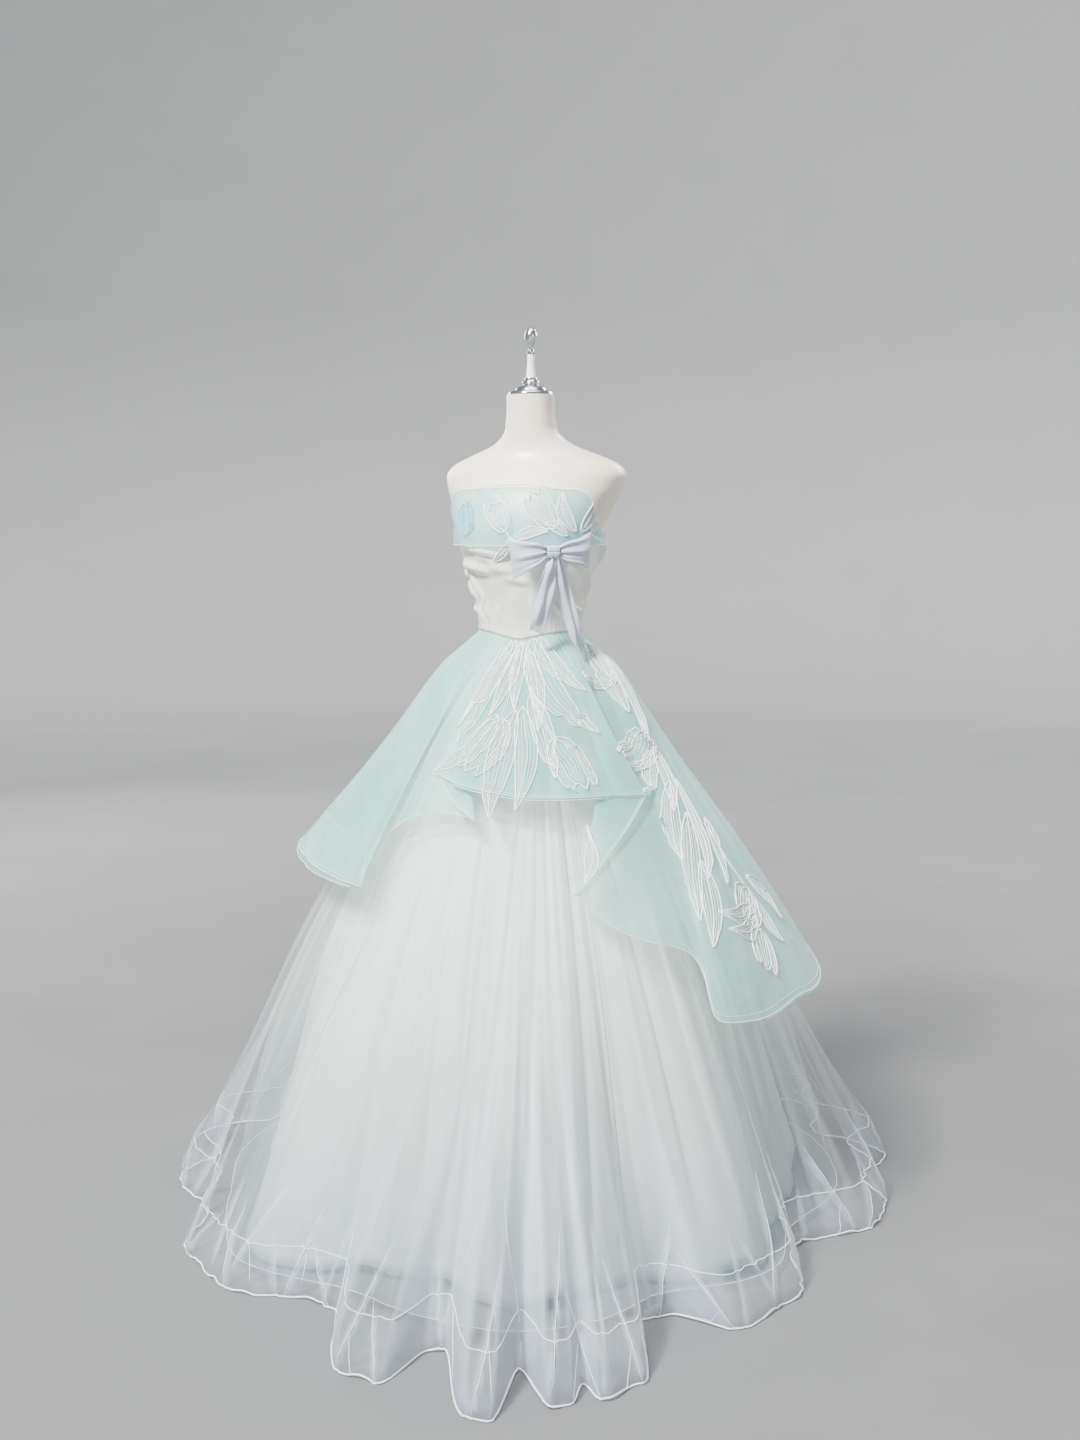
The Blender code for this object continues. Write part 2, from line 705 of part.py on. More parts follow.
def flute_columns(low, high):
    """Columns on the lining's crests and troughs, with one between those far apart."""
    angles = LINING_HEM[:, 0]
    marks = [low] + [a for a in angles if low + FLUTE_CLEAR < a < high - FLUTE_CLEAR] + [high]
    columns = []
    for start, end in zip(marks, marks[1:]):
        steps = 2 if end - start > FLUTE_STEP else 1
        columns += list(np.linspace(start, end, steps + 1)[:-1])
    return columns + [high]


def build_skirt_layer(prefix, point, seams, columns_for, rows, wall, finish, collection,
                      gap=SEAM_GAP):
    for number, (low, high) in enumerate(zip(seams, seams[1:]), 1):
        sheet(f"{prefix}_{number}", point, columns_for(low, high), rows, wall, finish, collection,
              gap)


def tulle_point(angle, down):
    inward = 2 * LAYER_PITCH
    inward += TULLE_INSET_TOP * ease(down, 0.0, 0.25) + TULLE_INSET_LOW * ease(down, 0.25, 0.6)
    hem = wave_through(angle, HEM_FOLDS[:, 0], HEM_FOLDS[:, 1])
    flute = FLUTE * wave_through(angle, HEM_FOLDS[:, 0], HEM_FOLDS[:, 2]) * ease(down, 0.10, 0.60)
    flute *= 1 - ease(down, 0.8, SLOPE_LENGTH)
    return skirt_point(angle, down, -inward, hem_reach(down, hem, inward) + flute)


def build_tulle(finish, collection):
    hem = SLOPE_LENGTH - FLOOR_GAP - TULLE_WALL / 2
    rows = [2 * LAYER_DROP, 0.05, 0.14, 0.34, 0.62, 0.90, 1.06, 1.19, hem]
    build_skirt_layer("skirt_tulle", tulle_point, SKIRT_SEAMS, tulle_columns, rows,
                      TULLE_WALL, finish, collection)


def under_tulle_point(angle, down):
    inward = 3 * LAYER_PITCH
    inward += UNDER_INSET_TOP * ease(down, 0.01, 0.25) + UNDER_INSET_LOW * ease(down, 0.25, 0.6)
    hem = float(curve_through(angle, UNDER_HEM[:, 0], UNDER_HEM[:, 1]))
    return skirt_point(angle, down, -inward, hem_reach(down, hem, inward))


def build_under_tulle(finish, collection):
    rows = [3 * LAYER_DROP, 0.05, 0.14, 0.34, 0.64, 0.96, SLOPE_LENGTH - UNDER_HEM_UP]
    build_skirt_layer("under_tulle", under_tulle_point, LINING_SEAMS, flute_columns, rows,
                      TULLE_WALL, finish, collection)


def lining_point(angle, down):
    inward = 4 * LAYER_PITCH + LINING_INSET * ease(down, 0.01, 0.36)
    hem = float(curve_through(angle, LINING_HEM[:, 0], LINING_HEM[:, 1]))
    narrow = LINING_MEAN - (LINE_RADIUS[-1] - inward / squareness(SLOPE_LENGTH - 0.01))
    flute = (hem - LINING_MEAN) * ease(down, LINING_FLUTE_FROM, SLOPE_LENGTH)
    return skirt_point(angle, down, -inward, narrow * ease(down, 0.25, SLOPE_LENGTH) + flute)


def build_lining(finish, collection):
    rows = [4 * LAYER_DROP, 0.05, 0.14, 0.34, 0.64, 0.96, SLOPE_LENGTH - LINING_HEM_UP]
    build_skirt_layer("skirt_lining", lining_point, LINING_SEAMS, flute_columns, rows,
                      LINING_WALL, finish, collection, LINING_SEAM_GAP)


# Overskirt

def overskirt_columns(low, high):
    """Places along the table between two seams, as row numbers with fractions."""
    first = int(np.searchsorted(OVERSKIRT[:, 0], low))
    last = int(np.searchsorted(OVERSKIRT[:, 0], high))
    columns = []
    for row in range(first, last):
        steps = max(1, round(abs(OVERSKIRT[row + 1, 1] - OVERSKIRT[row, 1]) / COLUMN_ANGLE))
        columns += [row + k / steps for k in range(steps)]
    return columns + [float(last)]


def overskirt_point(column, share, top=OVERSKIRT_TOP, longer=0.0):
    rows = np.arange(len(OVERSKIRT), dtype=float)
    waist, hem, length, level, flare = (
        float(curve_through(column, rows, OVERSKIRT[:, k])) for k in range(5))
    down = mix(top, length + longer, share)
    angle = mix(waist, hem, max(share - FOLD_START, 0.0) / (1.0 - FOLD_START))
    spread = ease(down, 0.0, STAND_BY)
    depth = FOLD_STEP * level * spread + flare * share ** 1.7
    return skirt_point(angle, down, STAND_OFF * spread + depth)


def overskirt_under_point(column, share):
    """The second layer of the overskirt, on the wrong side of the first between its folds."""
    top = OVERSKIRT_TOP + LAYER_DROP
    hem = float(curve_through(column, np.arange(len(OVERSKIRT), dtype=float), OVERSKIRT[:, 1]))
    longer = 0.004 + 0.009 * bell(hem + 60.0, 25.0)
    low, high = max(share - 0.01, 0.0), min(share + 0.01, 1.0)
    along = overskirt_point(column + 0.05, share, top, longer)
    along -= overskirt_point(column - 0.05, share, top, longer)
    downward = overskirt_point(column, high, top, longer) - overskirt_point(column, low, top, longer)
    inward = along.cross(downward).normalized()
    pitch = mix(LAYER_PITCH, UNDER_PITCH, ease(share, 0.0, 0.2))
    return overskirt_point(column, share, top, longer) + inward * pitch


def build_overskirt(finish, collection):
    names = ("back_right", "front", "back_left")
    for name, low, high in zip(names, OVERSKIRT_SEAMS, OVERSKIRT_SEAMS[1:]):
        sheet("overskirt_" + name, overskirt_point, overskirt_columns(low, high), FOLD_ROWS,
              ORGANZA_WALL, finish, collection)
    for name, low, high in UNDER_PANELS:
        sheet("overskirt_under_" + name, overskirt_under_point, overskirt_columns(low, high),
              FOLD_ROWS, ORGANZA_WALL, finish, collection)


# Bow

def bow_place(along, out, up):
    turn = radians(BOW_ANGLE)
    sideways = Vector((cos(turn), sin(turn), 0.0)) * along
    return at(BOW_ANGLE, BOW_STAND + out, BOW_HEIGHT + up) + sideways


def loop_point(side, length, tall, droop, slant):
    """A loop's surface as a function of its place on LOOP_PATH and across the ribbon."""
    def point(step, across):
        share, depth = LOOP_PATH[int(step)]
        half = mix(LOOP_PINCH, tall, share ** 0.8)
        reach = share * length * (1 - slant * (1 - across) / 2)
        pleat = LOOP_PLEAT * cos(across * pi * 2.5) * (1 - share)
        out = LOOP_BACK + depth + pleat - LOOP_CURL * share * share
        return bow_place(side * (KNOT_SIZE[0] / 2 + SEAM_GAP / 2 + reach), out,
                         droop * share + half * across)
    return point


def tail_point(table, ridge, slant):
    def point(step, across):
        up, along, out, half = table[int(step)]
        last = 1.0 if int(step) == len(table) - 1 else 0.0
        return bow_place(along + half * across, out + ridge * (1 - abs(across)),
                         up - slant * across * last)
    return point


def build_bow(finish, collection):
    steps = range(len(LOOP_PATH))
    across = np.linspace(-1.0, 1.0, 7)
    for name, shape in (("bow_loop_right", LOOP_RIGHT), ("bow_loop_left", LOOP_LEFT)):
        sheet(name, loop_point(*shape), steps, across, RIBBON_WALL, finish, collection)
    tails = (("bow_tail_right", TAIL_WIDE, 0.0015, 0.006),
             ("bow_tail_left", TAIL_FOLDED, 0.005, 0.0))
    for name, table, ridge, slant in tails:
        sheet(name, tail_point(table, ridge, slant), range(len(table)), (-1.0, 0.0, 1.0),
              RIBBON_WALL, finish, collection)
    bpy.ops.mesh.primitive_cube_add(size=1.0, location=bow_place(0.0, 0.0, 0.0),
                                    rotation=(0.0, 0.0, radians(BOW_ANGLE)))
    knot = bpy.context.active_object
    knot.name = "bow_knot"
    knot.data.name = "bow_knot"
    knot.data.transform(Matrix.Diagonal((*KNOT_SIZE, 1.0)))
    knot.data.materials.append(finish)
    knot.data.shade_smooth()
    rounded = knot.modifiers.new("Rounded", "BEVEL")
    rounded.width = KNOT_EDGE
    rounded.segments = 3
    move_to(knot, collection)


def build_gown():
    remove_everything()
    gown = new_collection("Ball gown on dress form")
    shell = material("form_shell", (0.86, 0.84, 0.78), 0.45)
    chrome = material("chrome", (0.80, 0.80, 0.82), 0.12, metallic=1.0)
    satin = material("ivory_satin", (0.83, 0.83, 0.79), 0.38)
    ribbon = material("bow_satin", (0.58, 0.63, 0.73), 0.32)
    organza = material("aqua_organza", (0.58, 0.75, 0.70), 0.45)
    tulle = material("white_tulle", (0.80, 0.84, 0.86), 0.60)
    taffeta = material("lining_taffeta", (0.78, 0.81, 0.77), 0.55)
    build_form(shell, gown)
    build_neck_fittings(chrome, shell, gown)
    build_stand(chrome, gown)
    build_bodice(satin, gown)
    build_band(organza, gown)
    build_lining(taffeta, gown)
    build_under_tulle(tulle, gown)
    build_tulle(tulle, gown)
    build_overskirt(organza, gown)
    build_bow(ribbon, gown)


build_gown()
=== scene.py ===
"""Ball gown on a dress form: cloth, embroidery, looks, light and camera.

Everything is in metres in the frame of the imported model: +Z up, the front of the gown
towards -Y and the wearer's left towards +X. Angles run from the centre front towards the
wearer's left. The section tables are the solids' own, so each cloth piece lies on the
form of the node that it replaces, with its gathers, creases and edges on top.
"""

from math import cos, pi, radians, sin

import bpy
import numpy as np
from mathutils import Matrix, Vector
from mathutils.bvhtree import BVHTree


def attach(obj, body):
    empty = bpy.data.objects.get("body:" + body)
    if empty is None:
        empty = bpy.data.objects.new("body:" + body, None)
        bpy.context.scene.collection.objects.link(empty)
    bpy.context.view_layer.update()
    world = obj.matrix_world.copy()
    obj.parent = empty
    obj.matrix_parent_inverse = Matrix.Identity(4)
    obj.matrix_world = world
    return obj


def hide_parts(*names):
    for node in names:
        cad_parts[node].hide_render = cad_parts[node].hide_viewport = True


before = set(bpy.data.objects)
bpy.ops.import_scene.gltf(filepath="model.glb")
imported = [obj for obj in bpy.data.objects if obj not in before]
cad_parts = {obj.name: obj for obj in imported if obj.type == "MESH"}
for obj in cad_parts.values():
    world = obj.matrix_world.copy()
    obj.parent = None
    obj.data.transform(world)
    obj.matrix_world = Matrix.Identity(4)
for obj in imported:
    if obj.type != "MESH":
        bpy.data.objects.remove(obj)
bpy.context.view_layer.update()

# Walls of the opaque cloth, and the gaps at the seams
SATIN_WALL = 0.0020
LINING_WALL = 0.0012
RIBBON_WALL = 0.0012
SEAM_GAP = 0.0003
BAND_GAP = 0.0005
LINING_GAP = 0.0008

# Bodice and band
WAIST_HEIGHT = 1.150
WAIST_EASE = 0.0008
BODICE_EASE = 0.0028
WAIST_DIP = 0.015
WAIST_DIP_SPREAD = 34.0
NECKLINE_FRONT = 1.434
NECKLINE_BACK = 1.340
NECKLINE_DIP = 0.034
NECKLINE_DIP_SPREAD = 15.0
UNDERARM = (58.0, 88.0)
BAND_TOP = (1.441, 1.348)
BAND_BOTTOM = (1.322, 1.262)
BAND_OFF = 0.0026
BAND_STAND_OFF = 0.008
BAND_WAVE = 0.0025
BODY_RADIUS = 0.13
BUST = (1.325, 0.060, 33.0, 22.0, 0.010)

# Skirts
LAYER_PITCH = 0.0016
LAYER_DROP = 0.0035
FLOOR_GAP = 0.0005
WAVE_FADE = 0.262
ROUND_BY = 0.42
FLUTE = 0.006
UNDER_HEM_UP = 0.018
LINING_HEM_UP = 0.014
CORD_ROOM = 0.0018
HEM_BAND_DOWN = 1.21
HEM_BAND_EDGE = (1.205, 1.215)
# Heights below which painted shade darkens the colour of the tulles and of the lining
NET_PAINTED_SHADE_BELOW = 0.55
LINING_PAINTED_SHADE_BELOW = 0.85

# Overskirt
FOLD_STEP = 0.009
FOLD_START = 0.10
STAND_OFF = 0.018
STAND_BY = 0.10
OVERSKIRT_TOP = 0.0008
UNDER_PITCH = 0.0026
DEEP_HEM = 0.085

# Bow
BOW_ANGLE = 33.0
BOW_HEIGHT = 1.3105
BOW_STAND = 0.1613
KNOT_SIZE = (0.026, 0.018, 0.024)
LOOP_PINCH = 0.0095
LOOP_BACK = -0.0065
LOOP_CURL = 0.012
BOW_CLEAR = 0.0014

# Rows of each cloth's grid, from its top edge to its lower edge
BODICE_ROWS = 60
BAND_ROWS = 40
LINING_ROWS = 62
UNDER_ROWS = 70
TULLE_ROWS = 110
OVERSKIRT_ROWS = 72
SECOND_ROWS = 60

# Radii of the cords along the edges and of the stitch lines
BAND_CORDS = (0.0011, 0.0009)
OVERSKIRT_CORDS = (0.0010, 0.0005)
DEEP_HEM_STITCH = 0.0005
SECOND_CORD = 0.0009
UNDER_CORD = 0.0008
TULLE_CORD = 0.0017
TULLE_STITCH = 0.0008
PINCH_THREAD = (0.00018, 0.00040)

# Radii of the embroidery threads, and how far they and their net stand off the cloth
STEM_THREAD = 0.0009
LEAF_EDGE = 0.00145
LEAF_RIB = 0.00120
LEAF_LINE = 0.00052
TULIP_EDGE = 0.00150
PETAL_EDGE = 0.00125
TULIP_LINE = 0.00062
FILL_THREAD = 0.00028
EMBROIDERY_LIFT = 0.0006

# Camera
CAMERA_TURN = 18.0
CAMERA_FROM = 3.8
CAMERA_HEIGHT = 1.40
CAMERA_DOWN = 6.558
CAMERA_LENS = 46.614
CAMERA_SENSOR = 36.0
CAMERA_SHIFT = 0.00625

# Torso sections: height, half width, front depth, back depth, widest point behind the pole
TORSO = np.array([
    (0.93, 0.142, 0.104, 0.106, 0.0), (1.0, 0.134, 0.1, 0.1, 0.0), (1.08, 0.114, 0.086, 0.082, 0.0),
    (1.15, 0.104, 0.08, 0.072, 0.0), (1.21, 0.109, 0.089, 0.076, 0.0),
    (1.27, 0.124, 0.105, 0.086, 0.0), (1.33, 0.142, 0.121, 0.096, 0.001),
    (1.36, 0.149, 0.127, 0.095, 0.006), (1.4, 0.167, 0.131, 0.086, 0.02),
    (1.442, 0.185, 0.127, 0.072, 0.035), (1.466, 0.187, 0.117, 0.062, 0.04),
    (1.483, 0.172, 0.105, 0.055, 0.04), (1.5, 0.136, 0.091, 0.049, 0.035),
    (1.519, 0.088, 0.074, 0.047, 0.023), (1.542, 0.058, 0.058, 0.047, 0.009),
    (1.57, 0.05, 0.049, 0.049, 0.001), (1.621, 0.048, 0.048, 0.048, 0.0),
])
SECTION_POWER = 2.2

# Outermost skirt line below the waist: height, radius at the side
SKIRT_LINE = np.array([
    (1.15, 0.1063), (1.147, 0.1078), (1.14, 0.1132), (1.126, 0.1245), (1.1, 0.144), (1.05, 0.177),
    (0.96, 0.231), (0.84, 0.305), (0.726, 0.378), (0.618, 0.44), (0.457, 0.522), (0.25, 0.606),
    (0.1, 0.661), (0.0, 0.7),
])

# Folds of the sheer skirt: angle, radius at the hem, and 1 for a crest or -1 for a valley
HEM_FOLDS = np.array([
    (-180.0, 0.715, -1), (-168.0, 0.8, 1), (-155.0, 0.7, -1), (-142.0, 0.81, 1),
    (-129.0, 0.695, -1), (-116.0, 0.785, 1), (-103.0, 0.69, -1), (-92.0, 0.78, 1),
    (-82.0, 0.69, -1), (-71.0, 0.74, 1), (-54.0, 0.684, -1), (-38.0, 0.78, 1), (-24.0, 0.806, 1),
    (-14.0, 0.753, -1), (-9.5, 0.76, -1), (0.0, 0.974, 1), (3.6, 0.986, 1), (6.3, 0.86, -1),
    (8.0, 0.855, -1), (12.8, 1.078, 1), (14.6, 1.084, 1), (16.7, 0.91, -1), (19.8, 1.04, 1),
    (21.4, 1.032, 1), (23.0, 0.962, -1), (24.4, 1.02, 1), (28.4, 0.976, 1), (33.2, 0.746, -1),
    (36.5, 0.742, -1), (43.6, 0.838, 1), (53.0, 0.796, 1), (70.0, 0.642, -1), (87.0, 0.74, 1),
    (95.0, 0.741, 1), (105.0, 0.695, -1), (117.0, 0.78, 1), (130.0, 0.695, -1), (142.0, 0.795, 1),
    (155.0, 0.7, -1), (168.0, 0.8, 1), (180.0, 0.715, -1), (192.0, 0.8, 1),
])

# Hems of the second sheer layer and of the lining: angle, radius
UNDER_HEM = np.array([
    (-180.0, 0.65), (-120.0, 0.65), (-85.0, 0.64), (-60.0, 0.632), (-44.0, 0.676), (-28.6, 0.738),
    (-20.0, 0.724), (-9.0, 0.712), (4.0, 0.768), (18.0, 0.8), (28.0, 0.758), (37.0, 0.69),
    (44.0, 0.692), (52.0, 0.706), (60.0, 0.69), (66.0, 0.65), (71.0, 0.616), (78.0, 0.608),
    (90.0, 0.632), (120.0, 0.648), (180.0, 0.65),
])
LINING_HEM = np.array([
    (-198.0, 0.615), (-180.0, 0.565), (-162.0, 0.615), (-145.0, 0.56), (-127.0, 0.615),
    (-110.0, 0.56), (-92.0, 0.605), (-76.0, 0.558), (-60.0, 0.552), (-44.0, 0.622), (-28.6, 0.698),
    (-22.0, 0.672), (-14.0, 0.632), (-7.0, 0.61), (-0.5, 0.596), (5.0, 0.632), (10.0, 0.666),
    (16.4, 0.698), (22.3, 0.68), (29.3, 0.632), (37.0, 0.604), (43.8, 0.64), (52.0, 0.668),
    (60.0, 0.652), (66.0, 0.61), (72.0, 0.574), (84.0, 0.556), (97.0, 0.552), (110.0, 0.56),
    (127.0, 0.612), (145.0, 0.56), (162.0, 0.615), (180.0, 0.565), (198.0, 0.615),
])
LINING_MEAN = 0.600
LINING_FLUTE_FROM = 0.50

# The overskirt, in order round the cloth: angle at the waist, angle at the hem, length
# down the slope, fold level (0 is the top layer, -2 the bottom of a fold), flare at hem
OVERSKIRT = np.array([
    (-180.0, -180.0, 0.6, 0.0, 0.018), (-176.0, -176.4, 0.602, 0.0, 0.019),
    (-168.0, -169.0, 0.62, 0.0, 0.05), (-156.0, -157.0, 0.6, 0.0, 0.016),
    (-144.0, -145.0, 0.595, 0.0, 0.05), (-132.0, -132.0, 0.575, 0.0, 0.018),
    (-120.0, -119.0, 0.565, 0.0, 0.06), (-107.0, -105.0, 0.545, 0.0, 0.04),
    (-94.0, -91.0, 0.535, 0.0, 0.066), (-80.0, -76.0, 0.53, 0.0, 0.062),
    (-65.0, -60.0, 0.54, 0.0, 0.04), (-50.0, -44.0, 0.548, 0.0, 0.03),
    (-38.0, -31.5, 0.554, 0.0, 0.026), (-36.3, -28.9, 0.556, -0.1, 0.024),
    (-35.1, -28.3, 0.556, -0.35, 0.024), (-33.9, -28.9, 0.553, -0.6, 0.022),
    (-32.4, -32.0, 0.53, -0.85, 0.018), (-30.8, -34.9, 0.497, -1.1, 0.013),
    (-29.6, -35.0, 0.495, -1.5, 0.013), (-28.1, -33.0, 0.47, -1.75, 0.011),
    (-26.4, -27.0, 0.424, -1.95, 0.01), (-24.8, -16.0, 0.396, -2.05, 0.008),
    (-22.8, -5.0, 0.4, -2.0, 0.006), (-21.6, -1.3, 0.404, -1.85, 0.006),
    (-20.4, -0.5, 0.405, -1.6, 0.006), (-19.2, -1.6, 0.402, -1.35, 0.006),
    (-17.4, -9.0, 0.372, -1.05, 0.006), (-15.6, -18.0, 0.325, -0.78, 0.006),
    (-14.4, -21.0, 0.311, -0.53, 0.006), (-13.2, -21.7, 0.309, -0.25, 0.006),
    (-12.0, -20.6, 0.311, -0.02, 0.006), (-7.0, -11.0, 0.327, 0.0, 0.008),
    (2.0, 1.0, 0.34, 0.0, 0.012), (14.0, 14.5, 0.352, 0.0, 0.006), (27.0, 29.0, 0.354, 0.0, 0.01),
    (39.0, 43.0, 0.354, 0.0, 0.006), (49.0, 54.5, 0.357, 0.0, 0.008),
    (51.8, 59.4, 0.36, -0.1, 0.01), (53.0, 60.3, 0.362, -0.35, 0.01),
    (54.2, 59.4, 0.367, -0.6, 0.01), (56.0, 52.0, 0.405, -0.85, 0.011),
    (58.0, 40.0, 0.475, -1.1, 0.013), (59.2, 32.5, 0.53, -1.3, 0.016),
    (60.7, 29.0, 0.548, -1.5, 0.016), (62.0, 28.9, 0.55, -1.9, 0.016),
    (63.5, 31.0, 0.568, -2.08, 0.017), (65.7, 37.0, 0.616, -2.15, 0.018),
    (68.5, 45.0, 0.65, -2.1, 0.02), (71.0, 51.5, 0.667, -2.0, 0.02),
    (72.8, 55.0, 0.682, -1.8, 0.021), (74.0, 56.2, 0.705, -1.5, 0.023),
    (75.2, 56.0, 0.735, -1.15, 0.026), (76.4, 54.9, 0.77, -0.8, 0.03),
    (77.8, 54.6, 0.8, -0.4, 0.034), (79.5, 57.0, 0.812, -0.05, 0.04),
    (86.0, 66.0, 0.816, 0.0, 0.046), (97.0, 80.0, 0.812, 0.0, 0.034),
    (109.0, 94.0, 0.812, 0.0, 0.048), (121.0, 109.0, 0.79, 0.0, 0.046),
    (134.0, 125.0, 0.735, 0.0, 0.018), (146.0, 139.0, 0.68, 0.0, 0.05),
    (157.0, 152.0, 0.64, 0.0, 0.016), (168.0, 166.0, 0.625, 0.0, 0.05),
    (176.0, 176.4, 0.602, 0.0, 0.019), (180.0, 180.0, 0.6, 0.0, 0.018),
])
COLUMN = np.arange(len(OVERSKIRT), dtype=float)

# One bow loop's ribbon, out along the front and back behind: share of the length, depth
LOOP_PATH = np.array([
    (0.0, 0.0064), (0.2, 0.0098), (0.46, 0.0122), (0.74, 0.0118), (0.93, 0.0088), (1.0, 0.0052),
    (0.93, 0.0016), (0.72, 0.0), (0.4, 0.0), (0.0, 0.0012),
])

# Ribbon tails: height, along, out, half width
TAIL_WIDE = np.array([
    (-0.0124, -0.001, -0.001, 0.007), (-0.033, -0.004, 0.0, 0.012), (-0.062, -0.01, -0.004, 0.016),
    (-0.095, -0.016, -0.0095, 0.017), (-0.127, -0.021, -0.0145, 0.0165),
    (-0.157, -0.025, -0.0185, 0.0165),
])
TAIL_FOLDED = np.array([
    (-0.0124, 0.01, -0.004, 0.004), (-0.045, 0.018, -0.0075, 0.0115),
    (-0.09, 0.031, -0.0125, 0.014), (-0.14, 0.046, -0.0195, 0.0135), (-0.175, 0.057, -0.0255, 0.01),
    (-0.199, 0.065, -0.03, 0.003),
])

# Seams, as angles at the waist
BODICE_SEAMS = (-180.0, -140.0, -92.0, -45.0, 45.0, 92.0, 140.0, 180.0)
BODICE_NAMES = ("back_right", "side_back_right", "side_front_right", "front",
                "side_front_left", "side_back_left", "back_left")
BAND_SEAMS = (-180.0, -92.0, 92.0, 180.0)
BACK_FRONT_BACK = ("back_right", "front", "back_left")
OVERSKIRT_SEAMS = (-180.0, -94.0, 97.0, 180.0)
UNDER_PANELS = (("right", -180.0, -38.0), ("front", -7.0, 39.0), ("left", 86.0, 180.0))
SKIRT_SEAMS = (-174.0, -135.5, -97.5, -62.5, -31.0, -4.8, 30.8, 61.5, 100.0, 136.0, 186.0)
LINING_SEAMS = (-180.0, -108.0, -36.0, 36.0, 108.0, 180.0)

# Creases down the skirts, placed one by one: angle, half width in degrees, depth (in is
# negative), lean in degrees down its length, where it starts and ends down the slope
LINING_CREASES = np.array([
    (-171, 2.6, -0.012, 3, 0.3, 1.3), (-158, 3.6, 0.008, -2, 0.45, 1.3),
    (-147, 2.2, -0.014, 2, 0.22, 1.15), (-131, 3.0, -0.01, 3, 0.4, 1.3),
    (-119, 2.4, 0.01, -3, 0.5, 1.3), (-106, 2.0, -0.014, 2, 0.25, 1.25),
    (-92, 3.4, -0.009, 0, 0.35, 1.3), (-80, 2.4, 0.01, 2, 0.42, 1.3),
    (-70, 2.0, -0.014, -2, 0.24, 1.2), (-60, 2.8, 0.008, 3, 0.38, 1.3),
    (-50, 2.0, -0.011, 4, 0.3, 1.28), (-42, 2.2, 0.009, 5, 0.35, 1.2),
    (-35.5, 1.9, -0.013, 5, 0.34, 1.22), (-25, 2.6, 0.006, 4, 0.5, 1.3),
    (-17.5, 2.3, -0.015, 6, 0.4, 1.34), (-9.5, 1.7, 0.009, 4, 0.38, 1.12),
    (-5, 1.2, -0.008, 3, 0.55, 1.15), (1.5, 1.5, -0.018, 7, 0.24, 1.3),
    (6, 1.5, 0.009, 5, 0.42, 1.15), (11, 1.3, -0.014, -6, 0.28, 1.14),
    (15, 1.3, 0.008, -4, 0.5, 1.2), (18.5, 1.1, -0.014, -4, 0.26, 1.3),
    (23.5, 1.6, 0.008, -2, 0.4, 1.28), (27.2, 1.0, 0.008, -3, 0.22, 1.12),
    (30, 1.0, -0.019, -3, 0.16, 1.24), (34.8, 1.5, -0.01, 0, 0.42, 1.3),
    (40.5, 2.0, 0.009, -2, 0.5, 1.3), (47.5, 1.5, -0.013, 2, 0.36, 1.24),
    (56, 2.4, 0.008, 1, 0.45, 1.3), (64, 1.3, -0.008, 2, 0.5, 1.18), (70, 1.8, -0.018, 5, 0.3, 1.3),
    (77, 1.8, 0.009, 3, 0.44, 1.3), (86, 2.6, -0.01, 0, 0.38, 1.3), (95, 2.2, 0.009, 2, 0.3, 1.22),
    (104, 2.2, -0.014, 3, 0.22, 1.3), (118, 3.0, -0.009, -2, 0.46, 1.3),
    (131, 2.6, 0.009, 2, 0.34, 1.3), (143, 2.0, -0.013, 1, 0.28, 1.18),
    (157, 3.2, -0.009, -3, 0.5, 1.3), (168, 2.6, 0.009, 2, 0.36, 1.3),
])
UNDER_CREASES = np.array([
    (-176, 1.4, 0.005, 2, 0.2, 1.3), (-163, 1.1, -0.006, -2, 0.4, 1.3),
    (-151, 1.7, 0.005, 3, 0.15, 1.1), (-138, 1.2, -0.005, 1, 0.5, 1.3),
    (-125, 1.5, 0.006, -2, 0.25, 1.3), (-111, 1.0, -0.006, 2, 0.35, 1.3),
    (-98, 1.8, 0.004, 0, 0.18, 1.2), (-84, 1.3, -0.006, 2, 0.45, 1.3),
    (-72, 1.1, 0.005, -3, 0.3, 1.3), (-59, 1.6, -0.006, 2, 0.22, 1.3),
    (-46, 1.2, 0.006, 1, 0.55, 1.3), (-34, 1.0, -0.005, 2, 0.3, 1.25),
    (-22, 1.4, 0.006, -1, 0.2, 1.3), (-13, 1.0, -0.006, 2, 0.6, 1.3),
    (-3, 1.3, 0.005, 1, 0.35, 1.3), (6, 0.9, -0.006, -1, 0.25, 1.3), (13, 1.1, 0.006, 1, 0.5, 1.3),
    (21, 0.9, -0.005, 0, 0.2, 1.3), (27, 1.2, 0.006, 1, 0.4, 1.3), (36, 1.0, -0.006, 2, 0.3, 1.3),
    (47, 1.5, 0.005, 1, 0.55, 1.3), (58, 1.1, -0.006, -2, 0.22, 1.15),
    (71, 1.6, 0.006, 2, 0.45, 1.3), (84, 1.2, -0.005, 0, 0.28, 1.3), (97, 1.0, 0.006, 2, 0.35, 1.3),
    (110, 1.6, -0.006, -2, 0.2, 1.3), (124, 1.3, 0.005, 3, 0.5, 1.3),
    (137, 1.0, -0.006, 1, 0.3, 1.2), (150, 1.5, 0.006, -2, 0.42, 1.3),
    (163, 1.1, -0.005, 2, 0.24, 1.3), (174, 1.4, 0.005, -1, 0.55, 1.3),
])
